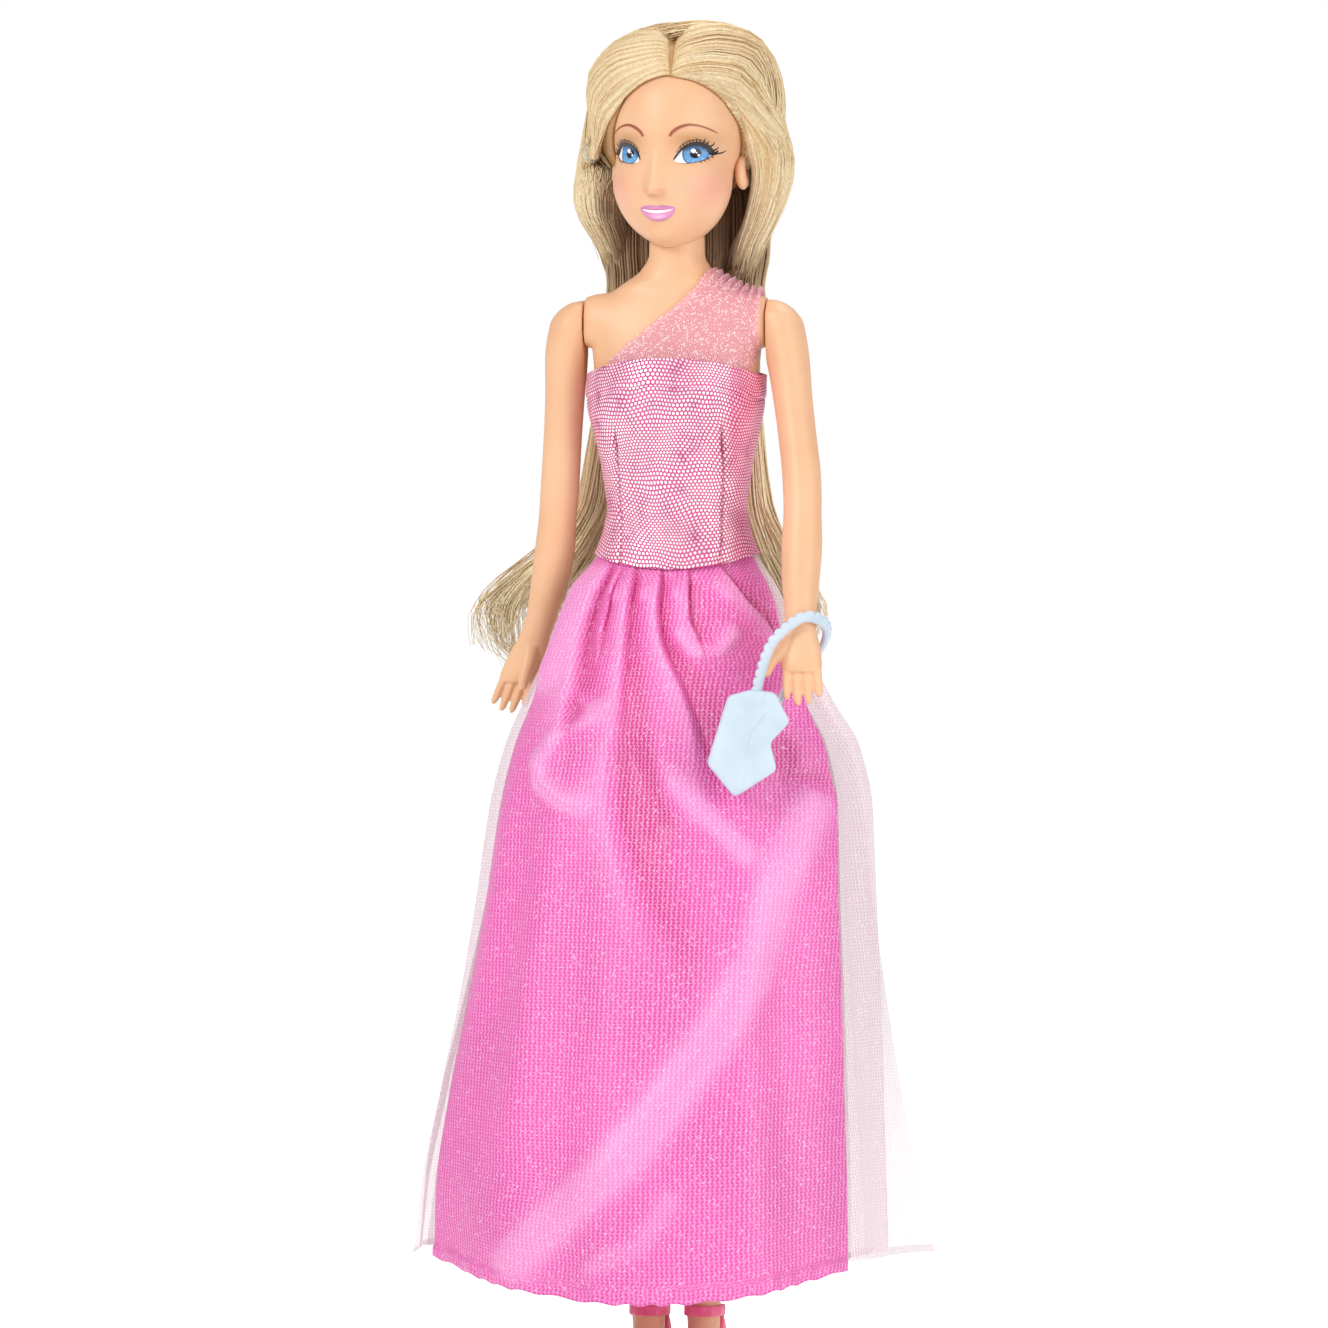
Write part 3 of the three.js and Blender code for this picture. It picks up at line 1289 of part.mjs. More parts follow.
addPiece('skirt_tulle', skirtPanel(
  tulleTurns, 0, [TULLE_COLUMNS, TULLE_ROWS], TULLE_PLEAT_DEPTH, 0, TULLE_FLARE,
), 'tulle');
addPiece('skirt_overlay', skirtPanel(
  [OVERLAY_FROM_DEGREES, OVERLAY_TO_DEGREES], CLOTH + OVERLAY_GAP,
  [OVERLAY_COLUMNS, TULLE_ROWS], TULLE_PLEAT_DEPTH, OVERLAY_FLARE, TULLE_FLARE,
), 'overlay');
addPiece('purse', purseSolid(), 'purse');

export default group;
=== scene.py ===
import math

import bpy
import numpy as np
from bpy.props import FloatProperty, FloatVectorProperty, IntProperty, PointerProperty
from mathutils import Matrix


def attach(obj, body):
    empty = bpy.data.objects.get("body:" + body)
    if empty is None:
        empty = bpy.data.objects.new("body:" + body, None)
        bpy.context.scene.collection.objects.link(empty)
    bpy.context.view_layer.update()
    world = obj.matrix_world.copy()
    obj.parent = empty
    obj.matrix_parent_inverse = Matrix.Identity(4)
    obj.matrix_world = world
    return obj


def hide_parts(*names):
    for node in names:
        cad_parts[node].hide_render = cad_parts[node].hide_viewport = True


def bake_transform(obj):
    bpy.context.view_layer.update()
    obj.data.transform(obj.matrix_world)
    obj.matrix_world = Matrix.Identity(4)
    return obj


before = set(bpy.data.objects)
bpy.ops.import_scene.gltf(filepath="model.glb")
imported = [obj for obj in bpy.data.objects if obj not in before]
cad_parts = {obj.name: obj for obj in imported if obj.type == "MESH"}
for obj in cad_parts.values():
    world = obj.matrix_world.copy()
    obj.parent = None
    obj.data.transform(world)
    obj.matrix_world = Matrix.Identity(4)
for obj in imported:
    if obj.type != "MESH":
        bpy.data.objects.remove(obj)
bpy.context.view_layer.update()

bl_info = {
    "name": "Fashion Doll",
    "version": (1, 0, 0),
    "blender": (4, 5, 0),
    "location": "3D View > Sidebar > Doll",
    "description": "Skin, painted face, rooted hair, gown, purse and shoes of a fashion doll",
    "category": "Object",
}

# Shapes are worked out in millimetres, +Z up, and put into metres with the mesh.
MM = 0.001
TAU = 2 * math.pi

# From the origin to the doll's own axis
AXIS = np.array([1.4, -1.8, 0.0])

# Places shared with the solids, from that axis
HEAD_Z = 266.0
HEAD_HALF = np.array([14.2, 17.5, 17.8])
HEAD_YAW = math.radians(-9)
NECK_RADIUS = 5.8
NECK_TOP_Z = 249.5
TORSO_BASE_Z = 148.0
TORSO_HEIGHT = 100.0
TORSO_HALF_WIDTH = 20.0
TORSO_HALF_DEPTH = 10.0
SHOULDER_Z = 229.5
SHOULDER_RADIUS = 6.0
SHOULDER_HALF_SPAN = 19.3
ARM_LENGTH = 84.0
ARM_HALF_WIDTH = 4.2
HIP_Z = 150.0
HIP_HALF_SPREAD = 10.0
LEG_HALF_WIDTH = 8.0


# Arrays

def smooth_table(table, places):
    """Reads all columns of a table at many places, on the monotone cubic through its rows:
    each row's slope is the harmonic mean of the slopes beside it, and nought at a peak."""
    rows = np.asarray(table, float)
    places = np.asarray(places, float)
    at, values = rows[:, 0], rows[:, 1:]
    step = np.diff(at)[:, None]
    slope = np.diff(values, axis=0) / step
    product = slope[:-1] * slope[1:]
    total = np.where(np.abs(slope[:-1] + slope[1:]) < 1e-9, 1.0, slope[:-1] + slope[1:])
    tangent = np.vstack([slope[:1], np.where(product > 0, 2 * product / total, 0.0), slope[-1:]])
    i = np.clip(np.searchsorted(at, places, side="right") - 1, 0, len(at) - 2)
    h = (at[i + 1] - at[i])[..., None]
    t = np.clip((places[..., None] - at[i][..., None]) / h, 0, 1)
    return (
        (1 + 2 * t) * (1 - t) ** 2 * values[i]
        + t * (1 - t) ** 2 * h * tangent[i]
        + t * t * (3 - 2 * t) * values[i + 1]
        - t * t * (1 - t) * h * tangent[i + 1]
    )


def mix(a, b, share):
    """A straight mix from a to b."""
    return a + (b - a) * share


def bell(x, reach):
    """A bell over x, exp(-(x / reach)^2): 1 at nought and 0.37 at the reach."""
    return np.exp(-(x / reach) ** 2)


def turns(count):
    """So many equal steps round a full turn, in radians."""
    return TAU * np.arange(count) / count


def joined(*fields):
    """Fields broadcast together and joined as the coordinates of points."""
    return np.stack(np.broadcast_arrays(*fields), -1)


def columns_at(table, places):
    """Each column of a table, read at many places."""
    return np.moveaxis(smooth_table(table, places), -1, 0)


def painted(tint, colour, share):
    """A tint with a colour laid over it, by a share for each point."""
    return mix(tint, colour, share[..., None])


def soft_step(x, low, high):
    """0 below low, 1 above high, and the cubic 3t^2 - 2t^3 between."""
    t = np.clip((x - low) / (high - low), 0, 1)
    return t * t * (3 - 2 * t)


def turned(points, angle, a, b, pivot=(0, 0)):
    """The points turned about a pivot in the plane of the axes a and b."""
    c, s = math.cos(angle), math.sin(angle)
    p, q = points[..., a] - pivot[0], points[..., b] - pivot[1]
    made = points.copy()
    made[..., a], made[..., b] = pivot[0] + c * p - s * q, pivot[1] + s * p + c * q
    return made


def last_inside(test, near, far, steps):
    """By halving, the furthest places between near and far where a test still holds."""
    for _ in range(steps):
        middle = (near + far) / 2
        inside = test(middle)
        near, far = np.where(inside, middle, near), np.where(inside, far, middle)
    return near


def catmull(points, count):
    """Each row of points, (n, k, 3), as count places on the Catmull-Rom curve through them."""
    padded = np.concatenate([2 * points[:, :1] - points[:, 1:2], points,
                             2 * points[:, -1:] - points[:, -2:-1]], axis=1)
    place = np.linspace(0, points.shape[1] - 1 - 1e-6, count)
    i = place.astype(int)
    t = (place - i)[None, :, None]
    p0, p1, p2, p3 = (padded[:, i + k] for k in range(4))
    return 0.5 * (2 * p1 + (p2 - p0) * t + (2 * p0 - 5 * p1 + 4 * p2 - p3) * t ** 2
                  + (3 * p1 - 3 * p2 + p3 - p0) * t ** 3)


def unit(vectors):
    """Each vector divided by its length."""
    return vectors / np.maximum(np.linalg.norm(vectors, axis=-1, keepdims=True), 1e-12)


def waves(places, seed, count, low, high):
    """A smooth made-up height over many places, the sum of a few seeded sine waves."""
    random = np.random.default_rng(seed)
    total = 0
    for _ in range(count):
        direction = unit(random.normal(size=3))
        pitch = random.uniform(low, high)
        total = total + np.sin(places @ direction * pitch + random.uniform(0, TAU)) / pitch
    return total * low


# Patches: points on a grid with their faces, and a colour or a place on the cloth for each point

def patch(points, wrap=False, capped=False, tint=None, cloth=None):
    """A grid of points (rows, columns, 3) joined by quads. wrap closes each row on itself,
    and capped closes the first and the last row with a fan to its middle."""
    rows, columns = points.shape[:2]
    index = np.arange(rows * columns).reshape(rows, columns)
    left = index if wrap else index[:, :-1]
    right = np.roll(index, -1, axis=1) if wrap else index[:, 1:]
    quads = joined(left[:-1], right[:-1], right[1:], left[1:]).reshape(-1, 4)
    flat = points.reshape(-1, 3)
    triangles = np.zeros((0, 3), int)
    if capped:
        low, high = points[0].mean(0), points[-1].mean(0)
        first, last = index[0], index[-1]
        flat = np.vstack([flat, low, high])
        poles = rows * columns, rows * columns + 1
        triangles = np.vstack([joined(np.roll(first, -1), first, poles[0]),
                               joined(last, np.roll(last, -1), poles[1])])
    extra = len(flat) - rows * columns
    fields = {}
    for name, values in (("tint", tint), ("cloth", cloth)):
        if values is not None:
            wide = np.broadcast_to(values, (rows, columns, np.shape(values)[-1]))
            wide = wide.reshape(rows * columns, -1)
            fields[name] = np.vstack([wide, np.repeat(wide[-1:], extra, axis=0)])
    return {"points": flat, "quads": quads, "triangles": triangles, "fields": fields}


def tubes(paths, radii, tint, sides=3):
    """Closed tubes along many paths (n, rows, 3) with radii and tints (n, rows). Each ring
    stands across its path."""
    count, rows = paths.shape[:2]
    along = unit(np.gradient(paths, axis=1))
    across = unit(np.cross(along, np.array([0.31, 0.92, 0.24])))
    up = np.cross(across, along)
    angle = turns(sides)
    ring = (np.cos(angle)[:, None] * across[:, :, None]
            + np.sin(angle)[:, None] * up[:, :, None])
    points = (paths[:, :, None] + radii[:, :, None, None] * ring).reshape(-1, 3)
    index = np.arange(count * rows * sides).reshape(count, rows, sides)
    after = np.roll(index, -1, axis=2)
    quads = joined(index[:, :-1], after[:, :-1], after[:, 1:], index[:, 1:]).reshape(-1, 4)
    fan = np.arange(1, sides - 1)
    start, end = index[:, 0], index[:, -1]
    triangles = np.concatenate([joined(start[:, :1], start[:, fan + 1], start[:, fan]),
                                joined(end[:, :1], end[:, fan], end[:, fan + 1])]).reshape(-1, 3)
    wide = np.broadcast_to(tint[:, :, None], (count, rows, sides, 3)).reshape(-1, 3)
    return {"points": points, "quads": quads, "triangles": triangles, "fields": {"tint": wide}}


def outward(piece):
    """A closed patch with its faces pointing outward, told by the sign of its volume."""
    p = piece["points"] - piece["points"].mean(0)
    q, t = piece["quads"], piece["triangles"]
    both = np.vstack([q[:, [0, 1, 2]], q[:, [0, 2, 3]], t])
    volume = np.einsum("ij,ij->", p[both[:, 0]], np.cross(p[both[:, 1]], p[both[:, 2]]))
    if volume < 0:
        piece = {**piece, "quads": q[:, ::-1], "triangles": t[:, ::-1]}
    return piece


def closed(points, tint=None):
    """A closed form from a grid of rings, capped at both ends, with its faces outward."""
    return outward(patch(points, wrap=True, capped=True, tint=tint))


def build_piece(name, patches, finish):
    """One mesh object of several patches, in metres, with its tint and cloth fields."""
    start, points, faces = 0, [], []
    for piece in patches:
        points.append((piece["points"] + AXIS) * MM)
        faces += (piece["quads"] + start).tolist() + (piece["triangles"] + start).tolist()
        start += len(piece["points"])
    mesh = bpy.data.meshes.new(name)
    mesh.from_pydata(np.vstack(points).tolist(), [], faces)
    fields = patches[0]["fields"]
    if "tint" in fields:
        tint = np.vstack([piece["fields"]["tint"] for piece in patches])
        colour = np.ones((len(tint), 4))
        colour[:, :3] = tint[:, :3]
        layer = mesh.color_attributes.new("tint", "FLOAT_COLOR", "POINT")
        layer.data.foreach_set("color", colour.ravel())
    if "cloth" in fields:
        cloth = np.vstack([piece["fields"]["cloth"] for piece in patches])
        loops = np.zeros(len(mesh.loops), int)
        mesh.loops.foreach_get("vertex_index", loops)
        mesh.uv_layers.new(name="cloth").data.foreach_set("uv", cloth[loops].ravel())
    mesh.polygons.foreach_set("use_smooth", np.ones(len(mesh.polygons), bool))
    mesh.materials.append(finish)
    mesh.update()
    made = bpy.data.objects.new(name, mesh)
    bpy.context.scene.collection.objects.link(made)
    return made


def placed(piece, slot, body, *nodes):
    """The piece riding on its body, in place of the solids that it finishes. Its slot is not used.
    """
    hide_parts(*nodes)
    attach(piece, body)


def evaluated(piece):
    """The piece with its modifiers applied to its mesh."""
    depsgraph = bpy.context.evaluated_depsgraph_get()
    mesh = bpy.data.meshes.new_from_object(piece.evaluated_get(depsgraph))
    old = piece.data
    piece.modifiers.clear()
    piece.data = mesh
    bpy.data.meshes.remove(old)
    return piece


def moulded(piece, voxel, passes, finish):
    """The piece's overlapping shells as one skin: remeshed at the voxel size in mm, then
    smoothed by that many passes."""
    remesh = piece.modifiers.new("one_skin", "REMESH")
    remesh.mode = "VOXEL"
    remesh.voxel_size = voxel * MM
    remesh.use_smooth_shade = True
    soften = piece.modifiers.new("soften", "SMOOTH")
    soften.factor = 0.5
    soften.iterations = passes
    evaluated(piece)
    piece.data.materials.clear()
    piece.data.materials.append(finish)
    piece.data.polygons.foreach_set("use_smooth", np.ones(len(piece.data.polygons), bool))
    return piece


def cad_copy(name, node_name):
    """A merged copy of a CAD node's mesh as a new object."""
    made = bpy.data.objects.new(name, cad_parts[node_name].data.copy())
    bpy.context.scene.collection.objects.link(made)
    weld = made.modifiers.new("weld", "WELD")
    weld.merge_threshold = 1e-6
    return evaluated(made)


# Finishes

def linear(red, green, blue):
    """A colour given as 0 to 255 on screen, as linear light."""
    value = np.array([red, green, blue], float) / 255
    return np.where(value > 0.04045, ((value + 0.055) / 1.055) ** 2.4, value / 12.92)


WHITE = linear(255, 255, 255)


def rgba(colour):
    """Three linear values with a full alpha."""
    return (*[float(v) for v in colour], 1.0)


def new_finish(name, **sockets):
    """A material, its node tree and its Principled shader with the given socket values."""
    finish = bpy.data.materials.get(name)
    if finish is not None:
        bpy.data.materials.remove(finish)
    finish = bpy.data.materials.new(name)
    finish.use_nodes = True
    shader = finish.node_tree.nodes["Principled BSDF"]
    for socket, value in sockets.items():
        shader.inputs[socket.replace("_", " ")].default_value = value
    return finish, finish.node_tree, shader


def add_node(tree, kind, inputs=None, **settings):
    """A shader node with its settings, and its inputs set to values or linked to sockets."""
    made = tree.nodes.new("ShaderNode" + kind)
    for name, value in settings.items():
        setattr(made, name, value)
    for name, value in (inputs or {}).items():
        if isinstance(value, bpy.types.NodeSocket):
            tree.links.new(value, made.inputs[name])
        else:
            made.inputs[name].default_value = value
    return made


def object_place(tree):
    """The place on the object, in metres."""
    return add_node(tree, "TexCoord").outputs["Object"]


def ramp(tree, factor, *stops):
    """A colour ramp with stops of place and linear colour."""
    made = add_node(tree, "ValToRGB", {"Fac": factor})
    line = made.color_ramp
    while len(line.elements) < len(stops):
        line.elements.new(1.0)
    for element, (place, colour) in zip(line.elements, stops):
        element.position = place
        element.color = rgba(colour)
    return made.outputs["Color"]


def noise(tree, vector, scale, detail=2.0, roughness=0.5):
    """Soft noise at a scale per metre."""
    return add_node(tree, "TexNoise", {
        "Vector": vector, "Scale": scale, "Detail": detail, "Roughness": roughness}).outputs["Fac"]


def bump(tree, height, strength, distance):
    """A bump from a height between 0 and 1, distance in metres."""
    return add_node(tree, "Bump", {
        "Height": height, "Strength": strength, "Distance": distance}).outputs["Normal"]


def span(tree, value, low, high, at_low=0.0, at_high=1.0):
    """A value between low and high carried over to another span, and clamped."""
    ends = {"From Min": low, "From Max": high, "To Min": at_low, "To Max": at_high}
    return add_node(tree, "MapRange", {"Value": value, **ends}).outputs[0]


def math_node(tree, operation, first, second=0.0, third=0.0):
    """One step of arithmetic."""
    return add_node(tree, "Math", {0: first, 1: second, 2: third}, operation=operation).outputs[0]


def mixed_colour(tree, factor, first, second, blend_type="MIX"):
    """Two colours mixed by a factor."""
    made = add_node(tree, "Mix", data_type="RGBA", blend_type=blend_type)
    for place, value in ((0, factor), (6, first), (7, second)):
        socket = made.inputs[place]
        if isinstance(value, bpy.types.NodeSocket):
            tree.links.new(value, socket)
        elif hasattr(value, "__len__"):
            socket.default_value = rgba(value)
        else:
            socket.default_value = value
    return made.outputs[2]


def tint_of(tree):
    """The colour that the mesh carries at each point."""
    return add_node(tree, "Attribute", attribute_name="tint").outputs["Color"]


def with_links(made, colour, height, strength, distance, **linked):
    """The finish with its colour and a bump from a height, and other sockets linked."""
    finish, tree, shader = made
    linked.update(Base_Color=colour, Normal=bump(tree, height, strength, distance))
    for socket, value in linked.items():
        tree.links.new(value, shader.inputs[socket.replace("_", " ")])
    return finish


def mottled(name, low, high, scale, grain, strength=0.1, distance=0.0001, detail=3.0, **sockets):
    """Moulded plastic: its colour drifts between two by soft noise, over a fine grain."""
    made = new_finish(name, **sockets)
    place = object_place(made[1])
    drift = ramp(made[1], noise(made[1], place, scale, detail), (0.3, low), (0.7, high))
    return with_links(made, drift, noise(made[1], place, grain), strength, distance)


def skin_finish(name, tinted):
    """Soft satin vinyl: faint mottling, a fine mould grain, and the painted tint if it has one."""
    made = new_finish(
        name, Roughness=0.42, Specular_IOR_Level=0.35, Subsurface_Weight=0.08,
        Subsurface_Scale=0.004, Subsurface_Radius=(1.0, 0.45, 0.25), Coat_Weight=0.06,
        Coat_Roughness=0.3)
    tree = made[1]
    place = object_place(tree)
    plain = np.ones(3) if tinted else np.array(doll_settings("skin").skin_colour)
    colour = ramp(tree, noise(tree, place, 60.0, 3.0),
                  (0.3, plain * linear(246, 240, 236)), (0.7, plain))
    if tinted:
        colour = mixed_colour(tree, 1.0, tint_of(tree), colour, "MULTIPLY")
    return with_links(made, colour, noise(tree, place, 2600.0), 0.12, 0.0001)


def doll_settings(group):
    """One group of this add-on's settings."""
    return getattr(bpy.context.scene, "doll_" + group)


class DollSkinSettings(bpy.types.PropertyGroup):
    skin_colour: FloatVectorProperty(
        name="Skin colour", description="Colour of the vinyl skin, in linear light",
        default=tuple(linear(241, 192, 152)), size=3, subtype="COLOR")
    iris_colour: FloatVectorProperty(
        name="Iris colour", description="Main colour of the painted iris, in linear light",
        default=tuple(linear(62, 140, 214)), size=3, subtype="COLOR")
    lip_colour: FloatVectorProperty(
        name="Lip colour", description="Colour of the painted lips, in linear light",
        default=tuple(linear(232, 148, 196)), size=3, subtype="COLOR")


class DollHairSettings(bpy.types.PropertyGroup):
    strand_width: FloatProperty(
        name="Strand width", description="Width of one strand of hair",
        default=0.00034, min=0.0001, max=0.001, unit="LENGTH", precision=5)
    strands: IntProperty(
        name="Strands", description="Strands in each large section of hair",
        default=1250, min=100, max=1300)
    light_colour: FloatVectorProperty(
        name="Light strands", description="Colour of the lightest strands, in linear light",
        default=tuple(linear(255, 240, 204)), size=3, subtype="COLOR")
    dark_colour: FloatVectorProperty(
        name="Dark strands", description="Colour of the darkest strands, in linear light",
        default=tuple(linear(212, 172, 116)), size=3, subtype="COLOR")


class DollGownSettings(bpy.types.PropertyGroup):
    satin_colour: FloatVectorProperty(
        name="Satin colour", description="Colour of the skirt's satin, in linear light",
        default=tuple(linear(238, 88, 180)), size=3, subtype="COLOR")
    foil_colour: FloatVectorProperty(
        name="Bodice colour", description="Ground colour of the bodice cloth, in linear light",
        default=tuple(linear(206, 62, 128)), size=3, subtype="COLOR")
    cloth_thickness: FloatProperty(
        name="Cloth thickness", description="Thickness of the satin and the bodice cloth",
        default=0.0003, min=0.0001, max=0.0006, unit="LENGTH", precision=5)


class DollStageSettings(bpy.types.PropertyGroup):
    camera_distance: FloatProperty(
        name="Camera distance", description="From the camera to the middle of the view",
        default=2.4, min=0.4, max=4.0, unit="LENGTH")
    camera_azimuth: FloatProperty(
        name="Camera azimuth", description="How far round to the doll's left the camera stands",
        default=math.radians(9), subtype="ANGLE")
    camera_elevation: FloatProperty(
        name="Camera elevation", description="How far the camera looks down",
        default=math.radians(2), subtype="ANGLE")


# Head: a cranium and a jaw that blend, with the features as soft bumps on the front.
CRANIUM_CENTRE_SHARES = np.array([0, 0.17, 0.253])
JAW_CENTRE_SHARES = np.array([0, -0.17, -0.393])
JAW_RADIUS_SHARES = np.array([0.873, 0.686, 0.764])
# Each row: x and z of the bump, its reach in x and z, and its height, shares of the half width.
FEATURE_SHARES = (
    (0, -0.55, 0.125, 0.13, 0.15),
    (0, -0.40, 0.11, 0.22, 0.05),
    (0, -0.26, 0.09, 0.22, 0.03),
    (-0.09, -0.59, 0.07, 0.08, 0.05),
    (0.09, -0.59, 0.07, 0.08, 0.05),
    (0, -0.90, 0.26, 0.06, 0.055),
    (0, -1.00, 0.20, 0.06, 0.055),
    (0, -1.27, 0.24, 0.18, 0.12),
    (-0.55, -0.58, 0.32, 0.26, 0.045),
    (0.55, -0.58, 0.32, 0.26, 0.045),
    (-0.48, -0.08, 0.26, 0.16, -0.065),
    (0.48, -0.08, 0.26, 0.16, -0.065),
)


def oval_reach(direction, centre, radii):
    """How far from the middle a ray meets an oval: the larger root of its quadratic."""
    a = ((direction / radii) ** 2).sum(-1)
    b = (direction * centre / radii ** 2).sum(-1)
    c = ((centre / radii) ** 2).sum() - 1
    return (b + np.sqrt(np.maximum(b * b - a * c, 0))) / a


def head_reach(direction):
    """The skin's distance from the head's middle: the 16th-power blend of cranium and jaw,
    plus a bell-shaped bump for each feature on the front."""
    cranium = oval_reach(direction, CRANIUM_CENTRE_SHARES * HEAD_HALF, HEAD_HALF)
    jaw = oval_reach(direction, JAW_CENTRE_SHARES * HEAD_HALF, JAW_RADIUS_SHARES * HEAD_HALF)
    base = (cranium ** 16 + jaw ** 16) ** (1 / 16)
    x = base * direction[..., 0] / HEAD_HALF[0]
    z = base * direction[..., 2] / HEAD_HALF[0]
    bumps = sum(height * bell(x - at_x, reach_x) * bell(z - at_z, reach_z)
                for at_x, at_z, reach_x, reach_z, height in FEATURE_SHARES)
    return base + np.where(direction[..., 1] < 0, bumps, 0) * HEAD_HALF[0]


def head_direction(around, down):
    """The unit vector at an angle round from the front and down from the top."""
    return joined(np.sin(around) * np.sin(down), -np.cos(around) * np.sin(down), np.cos(down))


def on_head(points):
    """Points about the head's middle, turned with the head and set in place."""
    return turned(points, HEAD_YAW, 0, 1) + [0, 0, HEAD_Z]


def face_place(x, z, lift):
    """The place on the face in front of x and z: y is corrected until the reach meets them."""
    y = np.full(np.shape(x), -14.0)
    for _ in range(14):
        direction = unit(joined(x, y, z))
        reach = head_reach(direction)
        y = -np.sqrt(np.maximum(reach ** 2 - x ** 2 - z ** 2, 0.01))
    return direction * (reach + lift)[..., None]


def face_tint(points):
    """The skin's colour over the face, each a soft oval: blush and eye shadow, and painted shade at
    the nostrils, under and beside the nose and under the lower lip.
    """
    tint = np.array(doll_settings("skin").skin_colour)
    x, z = np.abs(points[..., 0]), points[..., 2]
    for at_x, at_z, reach_x, reach_z, strength, colour in (
            (10.0, -8.6, 4.2, 3.4, 0.34, linear(240, 140, 150)),
            (7.2, 1.7, 4.2, 1.8, 0.66, linear(184, 132, 74)),
            (7.0, 0.2, 4.6, 2.6, 0.28, linear(170, 110, 60)),
            # From here on, painted shade: at the nostrils, under the nose, under the lower lip and
            # beside the nose.
            (1.3, -9.0, 0.75, 0.36, 0.36, linear(196, 120, 84)),
            (0.0, -9.7, 2.2, 0.8, 0.20, linear(206, 138, 100)),
            (0.0, -16.4, 2.4, 0.6, 0.22, linear(214, 140, 110)),
            (2.3, -8.2, 0.8, 1.4, 0.08, linear(210, 140, 100))):
        share = strength * bell(x - at_x, reach_x) * bell(z - at_z, reach_z)
        tint = painted(tint, colour, np.where(points[..., 1] < 0, share, 0))
    return tint


def head_patches():
    """The skin from the crown to the neck opening, then the opening's wall up inside it."""
    columns, rows = 240, 190
    share = 2 * np.arange(columns) / columns - 1
    around = math.pi * (share * 0.45 + share ** 3 * 0.55)
    opening = NECK_RADIUS + 0.4
    low = last_inside(
        lambda down: head_reach(head_direction(around, down)) * np.sin(down) > opening,
        np.full(columns, 2.2), np.full(columns, math.pi - 0.02), 30)
    down = np.linspace(0.01, 1, rows)[:, None] * low
    direction = head_direction(around, down)
    skin = direction * head_reach(direction)[..., None]
    rim = skin[-1]
    wall = rim * [0.99, 0.99, 0] + [0, 0, NECK_TOP_Z + 2 - HEAD_Z]
    everything = np.concatenate([skin, [rim * 0.995 + [0, 0, 0.5], wall]])
    return [closed(on_head(everything), face_tint(everything))]


def ear_patches():
    """Each ear: a flat oval whose outer side sinks inside the rim and swells at the lobe, with
    painted shade in the hollow.
    """
    u, v = np.meshgrid(turns(36), np.linspace(0.03, math.pi - 0.03, 26))
    out, across, rise = np.cos(v), np.sin(v) * np.cos(u), np.sin(v) * np.sin(u)
    hollow = 0.55 * np.exp(-((across ** 2 + (rise - 0.15) ** 2) / 0.28)) * (out > 0)
    # The ear's hollow is painted darker: painted shade in its recess.
    tint = painted(np.array(doll_settings("skin").skin_colour), linear(205, 135, 100), 0.9 * hollow)
    ears = []
    for side in (-1, 1):
        shares = joined(side * (0.11 * (out - hollow) + 0.97), 0.20 * across + 0.2,
                        0.26 * rise - 0.36)
        ears.append(closed(on_head(HEAD_HALF[0] * shares), tint))
    return ears


# Painted face: heights of the lids over the eye's middle line, in mm from the head's middle
EYE_X = 7.1
EYE_HALF = 3.4
LID_TOP = 2.65
LID_LOW = -1.1
IRIS_SHIFT = 0.45
IRIS_Z = -1.2
IRIS_RADIUS = 2.42
INK = linear(28, 16, 16)


def lid_line(s, upper):
    """Height of a lid, s from -1 at the inner to 1 at the outer corner: a tilted line between
    the corners plus a rounded arch that leans outward."""
    tilt = -2.1 + 0.55 * s
    arch = np.maximum(1 - np.abs(s) ** 2.3, 0) ** 0.75
    return tilt + (LID_TOP * (1 + 0.08 * s) if upper else LID_LOW) * arch


def eye_patch(side):
    """The painted eye: white, iris with rays and rim, pupil and three lights, by distance from
    the iris's middle."""
    s, q = np.meshgrid(np.linspace(-1, 1, 150), np.linspace(0, 1, 96))
    x = side * (EYE_X + s * EYE_HALF)
    z = mix(lid_line(s, False), lid_line(s, True), q)
    from_x, from_z = x - side * EYE_X - IRIS_SHIFT, z - IRIS_Z
    far = np.hypot(from_x, from_z)
    angle = np.arctan2(from_z, from_x)
    lid_gap = lid_line(s, True) - z
    body = np.array(doll_settings("skin").iris_colour)
    rays = 0.5 + 0.5 * np.sin(angle * 17 + 2 * np.sin(angle * 5)) * soft_step(far, 0.9, 1.6)
    lower = soft_step(-from_z / IRIS_RADIUS, -0.5, 0.9)
    iris = painted(body * 0.75, mix(body, linear(150, 208, 246), 0.75), 0.45 * rays + 0.55 * lower)
    iris = painted(iris, linear(26, 62, 128), soft_step(far, 2.0, IRIS_RADIUS))
    iris = painted(iris, linear(20, 40, 90), 0.8 * (1 - soft_step(lid_gap, 0.3, 1.5)))
    shade = 0.75 * (1 - soft_step(lid_gap, 0.1, 1.3))
    tint = painted(linear(247, 247, 250), linear(170, 170, 190), shade)
    tint = painted(iris, tint, soft_step(far, IRIS_RADIUS - 0.05, IRIS_RADIUS + 0.05))
    tint = painted(linear(30, 18, 26), tint, soft_step(far, 0.98, 1.12))
    for at_x, at_z, radius in ((-0.42, 0.52, 0.46), (0.6, -0.42, 0.25), (0.15, 0.1, 0.16)):
        spot = np.hypot(from_x - at_x, from_z - at_z)
        tint = painted(WHITE, tint, soft_step(spot, radius - 0.06, radius + 0.04))
    return patch(on_head(face_place(x, z, 0.03)), tint=tint)


def on_face(x, z, lift, colour):
    """A thin painted patch in front of x and z."""
    return patch(on_head(face_place(x, z, lift)), tint=colour)


